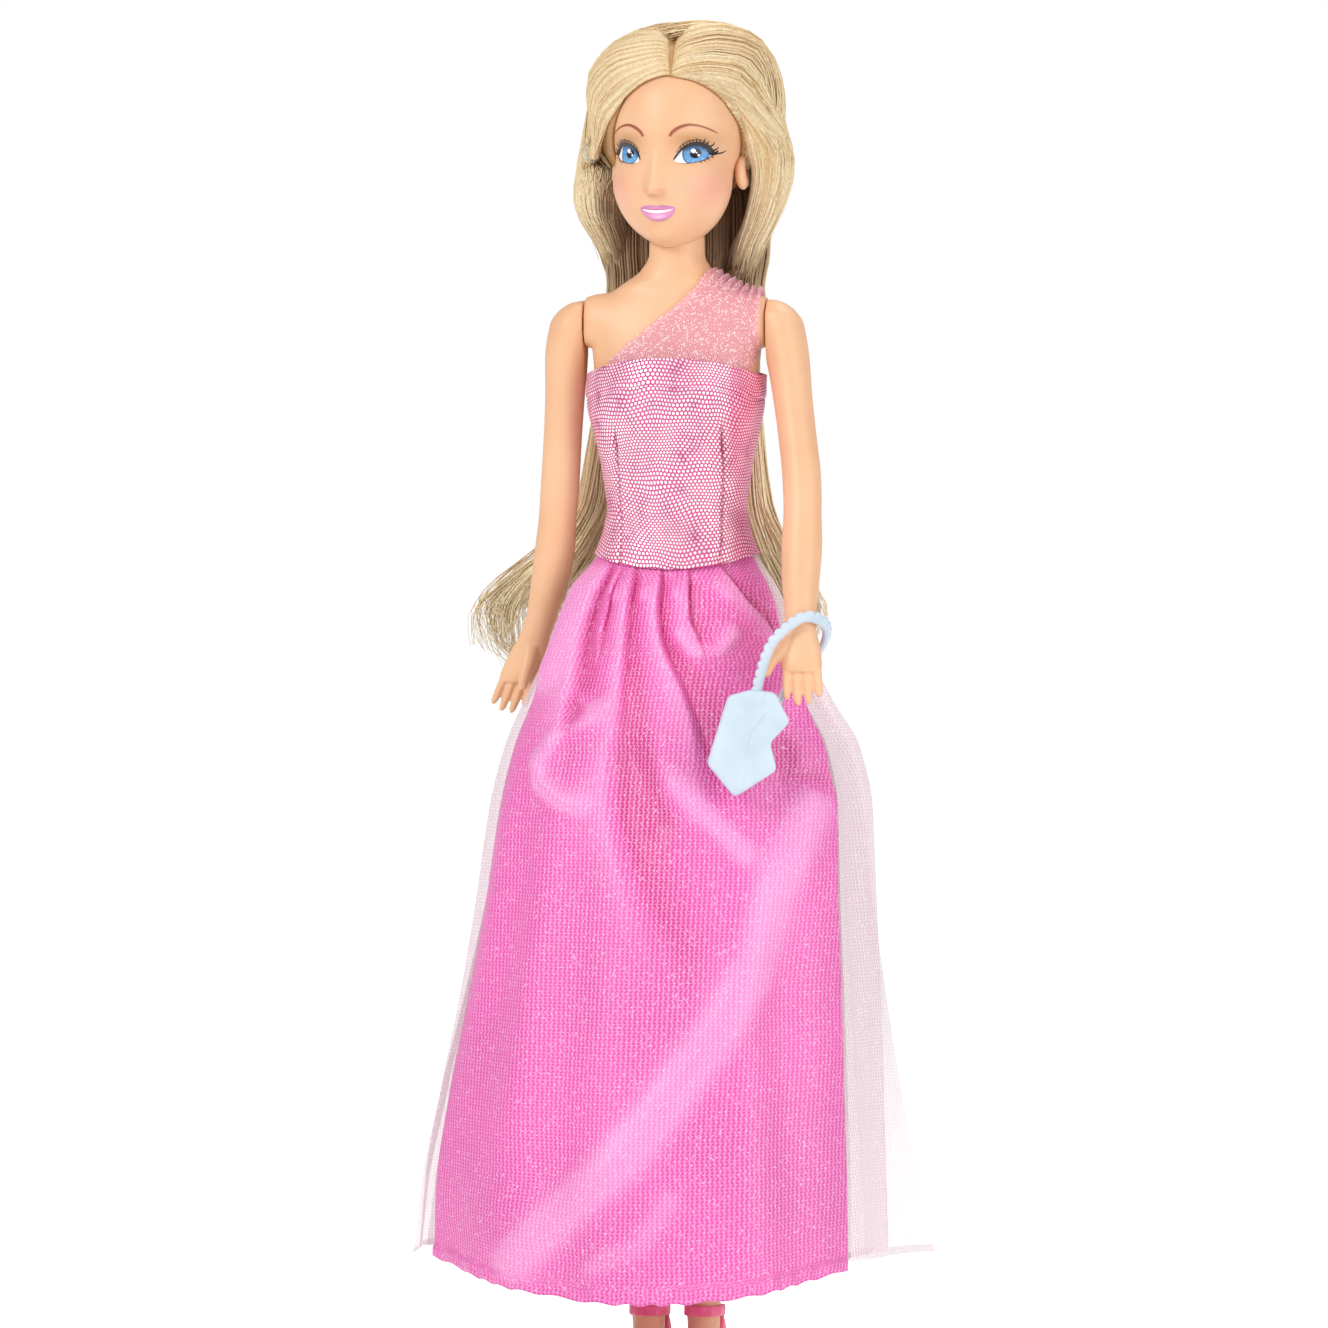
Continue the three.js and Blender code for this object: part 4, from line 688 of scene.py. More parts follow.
def stroke(line, widths, colour, lift):
    """A painted line: a ribbon of changing width along places (n, 2) on the face."""
    line = catmull(line[None], 28)[0]
    width = np.interp(np.linspace(0, 1, 28), np.linspace(0, 1, len(widths)), widths)
    along = unit(np.gradient(line, axis=0))
    across = joined(-along[:, 1], along[:, 0])
    offsets = np.linspace(-0.5, 0.5, 4)
    places = line[:, None] + across[:, None] * width[:, None, None] * offsets[None, :, None]
    return on_face(places[..., 0], places[..., 1], lift, colour)


def region(x, low, high, colour, lift):
    """A painted area between two lines over x, with a colour for each point."""
    z = mix(low, high, np.linspace(0, 1, 14)[:, None])
    return on_face(np.broadcast_to(x, z.shape), z, lift, colour)


def eye_strokes(side):
    """Liner, wing, crease, lower line, brow and lashes of one eye."""
    def beside(s, z, out=0.0):
        return joined(side * (EYE_X + s * EYE_HALF + out), z)

    def on_lid(s, rise, out=0.0):
        return beside(s, lid_line(s, True) + rise, out)

    wing = np.array([[0.72, 0.2], [1.0, 0.3], [1.22, 0.95]])
    wing_z = lid_line(np.minimum(wing[:, 0], 1.0), True) + wing[:, 1]
    low = np.linspace(-0.7, 1.0, 7)
    brow = np.array([[2.9, 2.35], [3.6, 3.3], [4.9, 4.2], [6.7, 4.75], [8.8, 4.45], [10.6, 3.6],
                     [11.4, 2.95]])
    strokes = [stroke(*line) for line in (
        (on_lid(np.linspace(-1.0, 1.0, 9), 0.12), (0.24, 0.5, 0.66, 0.8, 0.95, 1.0), INK, 0.07),
        (beside(wing[:, 0], wing_z), (0.75, 0.7, 0.12), INK, 0.08),
        (on_lid(np.linspace(-0.92, 0.95, 7), 0.95), (0.08, 0.2, 0.24, 0.22, 0.1),
         linear(120, 72, 44), 0.05),
        (beside(low, lid_line(low, False) - 0.05), (0.05, 0.12, 0.18, 0.26),
         linear(120, 70, 56), 0.06),
        (brow * [side, 1], (0.55, 0.7, 0.66, 0.56, 0.44, 0.3, 0.12), linear(166, 88, 64), 0.05))]
    for k, s in enumerate(np.linspace(-0.62, 1.08, 12)):
        root = on_lid(min(s, 1.0), 0.2, max(s - 1.0, 0) * EYE_HALF)
        lean = side * math.radians(mix(-22, 62, k / 11))
        length = mix(0.8, 1.75, k / 11) * (1.0 if k % 2 else 0.82)
        tip = root + length * np.array([math.sin(lean), math.cos(lean)])
        middle = mix(root, tip, 0.5) + 0.12 * length * np.array([side, -0.5])
        strokes.append(stroke(np.array([root, middle, tip]), (0.34, 0.24, 0.05), INK, 0.09))
    for s in np.linspace(0.45, 0.95, 4):
        root = beside(s, lid_line(s, False) - 0.05)
        tip = root + [side * 0.35, -0.45]
        lash = np.array([root, mix(root, tip, 0.5), tip])
        strokes.append(stroke(lash, (0.16, 0.12, 0.04), INK, 0.07))
    return strokes


def lip_patches():
    """Upper lip, lower lip and the line of teeth between them."""
    s = np.linspace(-1, 1, 60)
    x = 0.15 + s * 3.9
    rounded = np.maximum(1 - s ** 2, 0)
    corner = -12.85 + 0.1 * s ** 2
    bow = 0.78 * rounded ** 0.6 - 0.26 * bell(s, 0.16)
    teeth_top = corner - 0.2 * rounded
    teeth_low = teeth_top - 0.75 * np.maximum(1 - (s / 0.86) ** 2, 0) ** 0.7
    low_lip = corner - 2.65 * rounded ** 0.62
    lip = np.array(doll_settings("skin").lip_colour)
    q = np.linspace(0, 1, 14)[:, None, None]
    shine = bell(s - 0.1, 0.4)[:, None] * bell(q - 0.55, 0.25)
    upper = mix(lip * 0.86, lip * 0.72, q) + 0 * shine
    lower = mix(mix(lip * 0.82, lip, q), linear(255, 214, 236), 0.6 * shine)
    return [
        region(x, teeth_top, corner + bow, upper, 0.045),
        region(x, low_lip, teeth_low, lower, 0.045),
        region(x, teeth_low, teeth_top, linear(252, 250, 250), 0.05),
        stroke(joined(x, teeth_top)[::6], (0.05, 0.16, 0.2, 0.16, 0.05),
               linear(196, 96, 140), 0.07),
    ]


def paint_finish():
    """Printed paint in the colours of the tint, a little glossier than the skin."""
    finish, tree, shader = new_finish("face_paint", Roughness=0.3, Specular_IOR_Level=0.45)
    speck = ramp(tree, noise(tree, object_place(tree), 900.0),
                 (0.35, linear(250, 250, 250)), (0.6, WHITE))
    tree.links.new(mixed_colour(tree, 1.0, tint_of(tree), speck, "MULTIPLY"),
                   shader.inputs["Base Color"])
    return finish


class DOLL_OT_head(bpy.types.Operator):
    """Make the vinyl head with its ears and the printed face"""
    bl_idname = "doll.head"
    bl_label = "Head and face"

    def execute(self, context):
        skin = skin_finish("head_vinyl", True)
        placed(build_piece("head_skin", head_patches() + ear_patches(), skin),
               "vinyl", "head", "head")
        paint = [part for side in (-1, 1) for part in (eye_patch(side), *eye_strokes(side))]
        face = build_piece("face_paint", paint + lip_patches(), paint_finish())
        turn_to_front(face)
        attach(face, "head")
        return {"FINISHED"}


def turn_to_front(piece):
    """Turns each face of a thin painted layer outward, away from the head's middle."""
    mesh = piece.data
    normals = np.zeros(len(mesh.polygons) * 3)
    centres = np.zeros(len(mesh.polygons) * 3)
    mesh.polygons.foreach_get("normal", normals)
    mesh.polygons.foreach_get("center", centres)
    out = centres.reshape(-1, 3) - [0, 0, HEAD_Z * MM]
    wrong = np.flatnonzero((normals.reshape(-1, 3) * out).sum(1) < 0)
    for i in wrong.tolist():
        mesh.polygons[i].flip()
    mesh.update()


# Torso: shares of its height, half width, and depth in front and behind.
TORSO_SHARES = (
    (0.00, 0.72, 0.80, 1.00), (0.08, 0.93, 1.00, 1.25), (0.16, 0.94, 1.05, 1.30),
    (0.24, 0.85, 0.98, 1.15), (0.32, 0.71, 0.90, 0.92), (0.41, 0.62, 0.88, 0.78),
    (0.49, 0.66, 0.95, 0.80), (0.58, 0.76, 1.25, 0.85), (0.65, 0.85, 1.50, 0.90),
    (0.72, 0.88, 1.28, 0.92), (0.79, 0.91, 0.96, 0.88), (0.85, 0.84, 0.74, 0.76),
    (0.89, 0.59, 0.62, 0.66), (0.92, 0.39, 0.585, 0.60), (0.955, 0.295, 0.58, 0.58),
    (1.015, 0.29, 0.58, 0.58),
)


def torso_reach(angle, z):
    """The torso's radius at an angle from +X: a superellipse whose sizes come from the table,
    joined with the shoulder bar by an 8th-power blend."""
    height = (z - TORSO_BASE_Z) / TORSO_HEIGHT
    width, front, back = columns_at(TORSO_SHARES, height)
    c, s = np.abs(np.cos(angle)), np.abs(np.sin(angle))
    depth = np.where(np.sin(angle) < 0, front, back) * TORSO_HALF_DEPTH
    power = mix(2.3, 2.0, soft_step(z, 234, 243))
    body = ((c / (width * TORSO_HALF_WIDTH)) ** power + (s / depth) ** power) ** (-1 / power)
    off = np.clip(np.abs(z - SHOULDER_Z) / SHOULDER_RADIUS, 0, 0.9999)
    bar_depth = SHOULDER_RADIUS * np.sqrt(1 - off ** 2)
    bar_width = SHOULDER_HALF_SPAN * (1 - off ** 10) ** 0.25
    bar = ((c / bar_width) ** 6 + (s / np.maximum(bar_depth, 0.01)) ** 6) ** (-1 / 6)
    blend = (body ** 8 + bar ** 8) ** (1 / 8)
    reach = np.where(off < 0.9999, blend, body)
    limit = SHOULDER_HALF_SPAN / np.maximum(c, 1e-6)
    return np.minimum(reach, limit)


def torso_low(x, y):
    """The underside's height: the room of each leg's ball and thigh, and the web between."""
    spread = np.maximum(81 - (np.abs(x) - HIP_HALF_SPREAD) ** 2, 0.01)
    radius = np.sqrt(spread)
    ball = HIP_Z + np.sqrt(np.maximum(spread - y ** 2, 0))
    ahead = HIP_Z + (radius + y * 0.559) / 0.829
    room = np.where(-y > radius * 0.559, ahead, ball)
    room = np.maximum(room, TORSO_BASE_Z)
    web = HIP_Z - np.sqrt(np.maximum(72 - y ** 2, 0))
    return np.where(np.abs(x) < 1.25, np.minimum(web, TORSO_BASE_Z), room)


def torso_patches():
    """The body's skin from the neck down to the hip rims and the hollows under them. A fine
    groove runs where the front and the back half meet."""
    columns = 200
    angle = turns(columns)
    angle = angle - 0.175 * np.sin(2 * angle)
    low = np.full(columns, 153.0)
    for _ in range(4):
        reach = torso_reach(angle, low)
        low = torso_low(reach * np.cos(angle), reach * np.sin(angle))
    lower = np.linspace(low, np.full(columns, 170.0), 24)
    upper = np.concatenate([np.linspace(171, 219, 40), np.linspace(219.6, 243, 60),
                            np.linspace(243.6, NECK_TOP_Z, 10)])
    z = np.concatenate([lower, np.broadcast_to(upper[:, None], (len(upper), columns))])
    reach = torso_reach(angle, z)
    groove = 0.22 * bell(reach * np.sin(angle), 0.22) * soft_step(reach, 5.0, 6.5)
    x, y = (reach - groove) * np.cos(angle), (reach - groove) * np.sin(angle)
    collar = bell(z - 238.6 + 0.16 * np.abs(x), 1.1) * soft_step(np.abs(x), 2, 5)
    y = y - 0.4 * collar * (y < 0) * soft_step(17 - np.abs(x), 0, 5)
    side = joined(x, y, z)
    shrink = np.linspace(0.98, 0.02, 26)[:, None]
    under_x, under_y = side[0, :, 0] * shrink, side[0, :, 1] * shrink
    under = joined(under_x, under_y, torso_low(under_x, under_y))[::-1]
    return [closed(np.concatenate([under, side]))]


# Limbs

def limb(stations, rows, sides):
    """A closed limb: an oval section carried along a smooth path. Each station gives the place
    down the limb, x, y, z, half width and half depth."""
    place = np.linspace(stations[0, 0], stations[-1, 0], rows)
    x, y, z, width, depth = columns_at(stations, place)
    along = unit(joined(0, np.gradient(y), np.gradient(z)))
    normal = np.cross([1.0, 0, 0], along)
    angle = turns(sides)
    points = (joined(x, y, z)[:, None]
              + normal[:, None] * (depth[:, None] * np.sin(angle))[..., None])
    points[..., 0] += width[:, None] * np.cos(angle)
    return points


# Shares of the arm's length, the reach outward on the left and on the right, half width, depth.
ARM_SHARES = (
    (-0.050, 0.06, 0.06, 0.20, 0.32), (-0.043, 0.20, 0.20, 0.62, 0.86),
    (-0.024, 0.40, 0.40, 0.98, 1.26), (0.006, 0.57, 0.57, 1.22, 1.52),
    (0.090, 1.02, 0.96, 1.12, 1.36), (0.200, 1.40, 1.12, 1.00, 1.12),
    (0.300, 1.72, 1.26, 0.97, 1.05), (0.410, 2.04, 1.42, 0.98, 1.00),
    (0.500, 2.16, 1.58, 0.96, 0.98), (0.590, 2.20, 1.78, 1.02, 1.02),
    (0.690, 2.22, 2.14, 0.93, 0.90), (0.760, 2.27, 2.52, 0.80, 0.70),
    (0.800, 2.31, 2.82, 0.80, 0.62), (0.850, 2.38, 3.22, 0.98, 0.56),
    (0.900, 2.46, 3.62, 1.04, 0.52), (0.918, 2.50, 3.78, 0.85, 0.40),
)
# Each finger's place across the hand and its length; then shares of the finger's length, its
# half thickness and its curl forward in mm.
FINGERS = ((-0.74, 0.093), (-0.25, 0.108), (0.25, 0.103), (0.74, 0.085))
FINGER_SECTIONS = ((0.0, 1.05, 0.00), (0.4, 1.00, 0.08), (0.8, 0.88, 0.32), (0.97, 0.62, 0.47),
                   (1.0, 0.3, 0.50))
# The place along the arm, then the left and the right thumb's reach inward and forward, radius.
THUMB_SHARES = (
    (0.835, -0.50, -0.10, -0.12, -0.31, 0.45), (0.872, -1.15, -0.23, -0.29, -0.71, 0.38),
    (0.905, -1.62, -0.32, -0.40, -1.00, 0.30), (0.932, -1.80, -0.36, -0.45, -1.12, 0.21),
)
FINGER_ROOT = 0.892


def arm_reach(along, side):
    """How far out the arm's middle lies at shares of its length."""
    shares = smooth_table(ARM_SHARES, along)[..., 0 if side > 0 else 1]
    return SHOULDER_HALF_SPAN + 0.3 + ARM_HALF_WIDTH * shares


def arm_patches(side):
    """Arm, fingers and thumb as overlapping closed limbs, swung at the shoulder."""
    def hung(place, share, out, forward, width, depth, rows, sides):
        z = SHOULDER_Z - ARM_LENGTH * share
        return limb(joined(place, side * out, forward, z, width, depth), rows, sides)

    along, _, _, width, depth = np.array(ARM_SHARES).T
    main = hung(along, along, arm_reach(along, side), 0, ARM_HALF_WIDTH * width,
                ARM_HALF_WIDTH * depth, 170, 48)
    main[..., 0] = side * np.maximum(side * main[..., 0], SHOULDER_HALF_SPAN + 0.3)
    grids = [main]
    before = FINGER_ROOT - 2 / ARM_LENGTH
    root = arm_reach(FINGER_ROOT, side)
    slope = (root - arm_reach(before, side)) / (FINGER_ROOT - before)
    part, thick, curl = np.array(FINGER_SECTIONS).T
    for across, length in FINGERS:
        out = root + across * ARM_HALF_WIDTH * (1 + 0.12 * part) + slope * length * part
        grids.append(hung(part, FINGER_ROOT + length * part, out, curl, thick, thick, 22, 16))
    along, *reaches, thick = np.array(THUMB_SHARES).T
    inward, forward = reaches[:2] if side > 0 else reaches[2:]
    out = arm_reach(along, side) + ARM_HALF_WIDTH * inward
    thick = ARM_HALF_WIDTH * thick
    grids.append(hung(along, along, out, ARM_HALF_WIDTH * forward, thick, thick, 20, 16))
    swing = math.radians(17 if side > 0 else -5)
    return [closed(turned(grid, -swing, 1, 2, (0, SHOULDER_Z))) for grid in grids]


# Shares of the hip's height, of the spread at the hip, y, half width and half depth.
LEG_SHARES = (
    (0.000, 1.00, 0.00, 0.85, 0.90), (0.040, 1.00, 0.00, 1.03, 1.10),
    (0.100, 0.97, -0.03, 1.00, 1.10), (0.180, 0.91, -0.06, 0.95, 1.03),
    (0.270, 0.85, -0.08, 0.86, 0.92), (0.350, 0.79, -0.08, 0.77, 0.83),
    (0.420, 0.76, -0.07, 0.71, 0.76), (0.480, 0.74, 0.00, 0.65, 0.72),
    (0.550, 0.71, 0.10, 0.66, 0.78), (0.630, 0.68, 0.12, 0.61, 0.72),
    (0.710, 0.64, 0.11, 0.51, 0.60), (0.790, 0.61, 0.10, 0.43, 0.48),
    (0.855, 0.59, 0.10, 0.42, 0.46), (0.885, 0.59, -0.02, 0.42, 0.48),
    (0.915, 0.59, -0.38, 0.42, 0.45), (0.942, 0.60, -0.95, 0.45, 0.36),
    (0.964, 0.60, -1.58, 0.49, 0.28), (0.974, 0.60, -2.12, 0.44, 0.21),
    (0.977, 0.60, -2.48, 0.28, 0.13),
)


def ball_grid(centre, radii):
    """A closed oval ball as a grid."""
    around, down = np.meshgrid(turns(32), np.linspace(0.05, math.pi - 0.05, 24))
    ball = joined(np.sin(down) * np.cos(around), np.sin(down) * np.sin(around), np.cos(down))
    return ball * radii + centre


def leg_patches(side):
    """Leg and foot as one limb, with the hip's ball and the heel."""
    down, spread, y, width, depth = np.array(LEG_SHARES).T
    sections = np.array([y, width, depth]) * LEG_HALF_WIDTH
    stations = joined(down, side * spread * HIP_HALF_SPREAD, sections[0], HIP_Z * (1 - down),
                      sections[1], sections[2])
    heel = (side * 0.59 * HIP_HALF_SPREAD, 0.43 * LEG_HALF_WIDTH, HIP_Z * 0.102)
    return [closed(grid) for grid in (
        limb(stations, 190, 48),
        ball_grid((side * HIP_HALF_SPREAD, 0, HIP_Z), 8.4),
        ball_grid(heel, np.array([0.39, 0.46, 0.53]) * LEG_HALF_WIDTH))]


class DOLL_OT_body(bpy.types.Operator):
    """Make the torso's skin"""
    bl_idname = "doll.body"
    bl_label = "Torso"

    def execute(self, context):
        skin = skin_finish("skin_vinyl", False)
        placed(build_piece("torso_skin", torso_patches(), skin),
               "skin", "torso", "torso_front", "torso_back")
        return {"FINISHED"}


class DOLL_OT_limbs(bpy.types.Operator):
    """Make the arms with their hands and the legs with their feet"""
    bl_idname = "doll.limbs"
    bl_label = "Arms and legs"

    def execute(self, context):
        skin = skin_finish("limb_vinyl", False)
        for label, side in (("left", 1), ("right", -1)):
            for kind, patches, voxel in (("arm", arm_patches, 0.28), ("leg", leg_patches, 0.42)):
                limb_name = f"{kind}_{label}"
                piece = build_piece(limb_name + "_skin", patches(side), skin)
                placed(moulded(piece, voxel, 5, skin), "skin", limb_name, limb_name)
        return {"FINISHED"}


class DOLL_OT_shoes(bpy.types.Operator):
    """Make the pair of soft plastic shoes with ankle straps"""
    bl_idname = "doll.shoes"
    bl_label = "Shoes"

    def execute(self, context):
        finish = mottled("shoe_plastic", linear(238, 96, 140), linear(250, 120, 158), 220.0, 3000.0,
                         Roughness=0.36, Specular_IOR_Level=0.5, Coat_Weight=0.15,
                         Coat_Roughness=0.25)
        for label in ("left", "right"):
            shoe = moulded(cad_copy(f"shoe_{label}_plastic", f"shoe_{label}"), 0.2, 7, finish)
            placed(shoe, "shoe", f"leg_{label}", f"shoe_{label}")
        return {"FINISHED"}


def steel_finish():
    """Drawn steel rod: fine scratches along its length."""
    made = new_finish("axle_steel", Metallic=1.0, Roughness=0.3)
    tree = made[1]
    long_way = add_node(tree, "Mapping", {"Vector": object_place(tree), "Scale": (120, 4000, 4000)})
    scratch = noise(tree, long_way.outputs[0], 1.0, 3.0)
    shade = ramp(tree, scratch, (0.3, linear(170, 172, 176)), (0.7, linear(205, 207, 210)))
    return with_links(made, shade, scratch, 0.2, 0.00005)


def fastener_finish():
    """White touch fastener: a nap of short loops."""
    made = new_finish("fastener_nap", Roughness=0.95, Sheen_Weight=0.4)
    nap = noise(made[1], object_place(made[1]), 5200.0, 4.0, 0.7)
    shade = ramp(made[1], nap, (0.3, linear(206, 200, 204)), (0.7, linear(250, 247, 248)))
    return with_links(made, shade, nap, 0.8, 0.0003)


class DOLL_OT_fittings(bpy.types.Operator):
    """Finish the neck plug, hip axle, hip caps and fastener strips"""
    bl_idname = "doll.fittings"
    bl_label = "Inner fittings"

    def execute(self, context):
        plastic = linear(232, 226, 216)
        inner = mottled("inner_plastic", plastic * 0.94, plastic, 300.0, 4000.0, 0.15,
                        Roughness=0.5)
        for finish, names in (
                (inner, ("neck_plug", "hip_cap_left", "hip_cap_right")),
                (steel_finish(), ("hip_axle",)),
                (fastener_finish(), ("closure_hook_strip", "closure_loop_strip"))):
            for name in names:
                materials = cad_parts[name].data.materials
                materials.clear()
                materials.append(finish)
        return {"FINISHED"}


# Gown
BODICE_BOTTOM_Z = 178.5
BODICE_HEIGHT = 41.0
BODICE_HALF_WIDTH = 18.6
BODICE_HALF_DEPTH = 12.0
BODICE_SHARES = (
    (0.00, 0.915, 0.98, 1.13), (0.14, 0.820, 0.91, 1.00), (0.27, 0.770, 0.87, 0.93),
    (0.45, 0.820, 0.95, 0.93), (0.67, 0.920, 1.27, 0.96), (0.84, 0.985, 1.44, 1.00),
    (1.00, 1.000, 1.30, 1.01),
)
CLOTH_LIFT = 0.05
DOT_PITCH = 0.0008
HONEYCOMB_HALF = 0.866


def along_path(points):
    """The way along each row of points from its first one."""
    steps = np.linalg.norm(np.diff(points, axis=-2), axis=-1)
    return np.concatenate([0 * steps[..., :1], np.cumsum(steps, axis=-1)], axis=-1)


def flat_lengths(points):
    """Each point's place on the cloth in metres: the way along its row from the row's middle,
    and down its column."""
    across = along_path(points)
    across = across - across[:, [across.shape[1] // 2]]
    steps = np.linalg.norm(np.diff(points, axis=0), axis=-1).mean(1)
    down = np.concatenate([[0], np.cumsum(steps)])[:, None]
    return joined(across, down) * MM


def sheet_area(piece):
    """The area of a mesh in square metres."""
    areas = np.zeros(len(piece.data.polygons))
    piece.data.polygons.foreach_get("area", areas)
    return float(areas.sum())


def cloth_piece(name, points, finish, node, tint=None):
    """A sheet of cloth from its grid of places. Its flat size and area are worked out but not kept.
    """
    cloth = flat_lengths(points)
    piece = build_piece(name, [patch(points, cloth=cloth, tint=tint)], finish)
    width, length = (float(np.ptp(cloth[:, :, k])) for k in (0, 1))
    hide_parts(node)
    min(sheet_area(piece), width * length)
    return piece


def thickened(piece):
    """The cloth given its thickness inward, and its rim."""
    solid = piece.modifiers.new("thickness", "SOLIDIFY")
    solid.thickness = doll_settings("gown").cloth_thickness
    solid.offset = -1.0
    solid.use_even_offset = False


def bodice_points(turn, height, lift):
    """A superellipse around the body whose sizes come from the bodice's table. The darts pull it
    in along two lines, the top is folded over, and the cloth creases softly. Gives the places
    and the cloth's tint: painted shade dark in the darts, and pinker round the doll's left."""
    width, front, back = columns_at(BODICE_SHARES, height)
    c, s = np.sin(turn), -np.cos(turn)
    x = BODICE_HALF_WIDTH * width * np.sign(c) * np.abs(c) ** (2 / 2.2)
    y = BODICE_HALF_DEPTH * np.where(s < 0, front, back) * np.sign(s) * np.abs(s) ** (2 / 2.2)
    from_dart = np.abs(x) - mix(10.6, 11.9, height)
    dart = bell(from_dart, 0.34) * (0.34 + 0.5 * bell(height - 0.58, 0.09))
    dart = dart * (1 - soft_step(height, 0.66, 0.72)) * (s < 0)
    pucker = 0.16 * np.sin(from_dart * 1.5) * bell(from_dart, 3) * np.sin(height * 34)
    crease = 0.10 * waves(joined(x, y, 1.4 * height * BODICE_HEIGHT), 5, 7, 0.25, 0.6)
    fold = 0.2 * soft_step(height, 0.872, 0.884) - 0.12 * bell(height - 0.868, 0.008)
    hem = 0.25 * (1 - soft_step(height, 0.0, 0.035))
    out = lift - dart + (pucker + crease) * soft_step(1 - height, 0.0, 0.1) + fold + hem
    middle = np.cos(turn) ** 2 * (s < 0)
    low = -1.3 * middle + 1.7 * np.sin(turn) ** 2
    high = 1.7 * middle - 2.0 * np.sin(turn) ** 2 + 0.5
    z = BODICE_BOTTOM_Z + BODICE_HEIGHT * height + mix(low, high, height)
    along = np.hypot(x, y)
    shade = painted(np.ones(3), linear(255, 206, 226), 0.8 * soft_step(x, 12.3, 13.5))
    # Painted shade, dark along the darts.
    shade = painted(shade, linear(150, 40, 90), np.minimum(1.5 * dart, 0.9))
    return joined(x * (1 + out / along), y * (1 + out / along), z), shade


# Shares of the skirt's length, its reach to the doll's right and left, depth in front and behind.
SKIRT_TOP_Z = 178.2
SKIRT_LENGTH = 154.0
SKIRT_SHARES = (
    (-0.02, 0.325, 0.325, 0.255, 0.30),
    (0.00, 0.340, 0.340, 0.270, 0.315), (0.05, 0.430, 0.430, 0.355, 0.385),
    (0.12, 0.520, 0.520, 0.430, 0.440), (0.19, 0.620, 0.635, 0.500, 0.505),
    (0.25, 0.700, 0.745, 0.550, 0.555), (0.33, 0.765, 0.800, 0.610, 0.610),
    (0.46, 0.825, 0.815, 0.710, 0.690), (0.60, 0.895, 0.835, 0.810, 0.765),
    (0.74, 0.970, 0.852, 0.895, 0.835), (0.88, 1.020, 0.872, 0.965, 0.905),
    (1.00, 1.025, 0.880, 1.000, 0.935),
)
# Each pleat: its depth in mm, its width in mm at the waist, how much the width grows per share
# down, how far down it fades, and its line as share down and turn in degrees.
PLEATS = (
    (2.3, 1.9, 30, 0.34, ((0.0, -48), (0.05, -48), (0.08, -48.5), (0.12, -46), (0.16, -42),
                          (0.4, -36))),
    (1.3, 1.0, 14, 0.16, ((0.0, -37), (0.06, -36), (0.14, -33), (0.3, -28))),
    (2.0, 1.7, 26, 0.72, ((0.0, -26), (0.058, -22), (0.126, -19), (0.194, -16.4), (0.33, -14),
                          (0.40, -9), (0.46, -4), (0.53, 4), (0.75, 14))),
    (2.1, 1.5, 26, 0.40, ((0.0, -6), (0.057, -5), (0.102, -2), (0.13, 2), (0.17, 8), (0.22, 12),
                          (0.275, 14), (0.5, 24))),
    (1.7, 1.3, 26, 0.16, ((0.0, 14), (0.043, 12), (0.07, 12), (0.1, 16), (0.3, 30))),
    (2.0, 1.5, 26, 0.24, ((0.0, 36), (0.012, 39), (0.046, 46), (0.081, 58), (0.2, 75))),
)
# Soft ridges and hollows: height in mm, reach in mm, and a line as share down and degrees.
RIDGES = (
    (1.3, 2.0, ((0.192, -20), (0.215, -30), (0.241, -42), (0.269, -48), (0.296, -45), (0.32, -34),
                (0.329, -26))),
    (0.9, 1.7, ((0.172, -43), (0.194, -29), (0.194, -20))),
    (1.3, 2.0, ((0.095, 7), (0.118, 14), (0.114, 26), (0.093, 34))),
    (1.4, 2.8, ((0.298, 5), (0.33, 12), (0.353, 18), (0.389, 26))),
    (1.6, 5.2, ((0.326, 50), (0.376, 44), (0.444, 36), (0.54, 30), (0.642, 17), (0.731, 4),
                (0.814, -8), (0.887, -22), (0.958, -34))),
    (0.8, 2.6, ((0.861, 6), (0.923, -2), (0.953, -13))),
    (2.4, 4.6, ((0.0, -66), (0.07, -67), (0.14, -64))),
    (0.7, 1.2, ((0.0, -38), (0.011, -36), (0.045, -32))),
    (0.7, 1.2, ((0.0, -17), (0.043, -14))),
    (0.7, 1.2, ((0.0, 4), (0.042, 5))),
    (0.8, 1.6, ((0.0, 26), (0.015, 29), (0.043, 36))),
    (-1.2, 3.4, ((0.262, -10), (0.307, -5), (0.353, 0))),
    (-1.0, 3.2, ((0.248, 43), (0.285, 44), (0.295, 56))),
)


def from_line(turn, down, radius, line):
    """The distance in mm along the cloth to a line of straight pieces: the least of the
    distances to each piece, whose nearest place is the clipped foot of the perpendicular."""
    nearest = np.inf
    places = [(math.radians(degrees), share * SKIRT_LENGTH) for share, degrees in line]
    for (turn_a, z_a), (turn_b, z_b) in zip(places, places[1:]):
        ax, az = (turn - turn_a) * radius, down * SKIRT_LENGTH - z_a
        bx, bz = (turn_b - turn_a) * radius, z_b - z_a
        foot = np.clip((ax * bx + az * bz) / (bx * bx + bz * bz), 0, 1)
        nearest = np.minimum(nearest, np.hypot(ax - foot * bx, az - foot * bz))
    return nearest


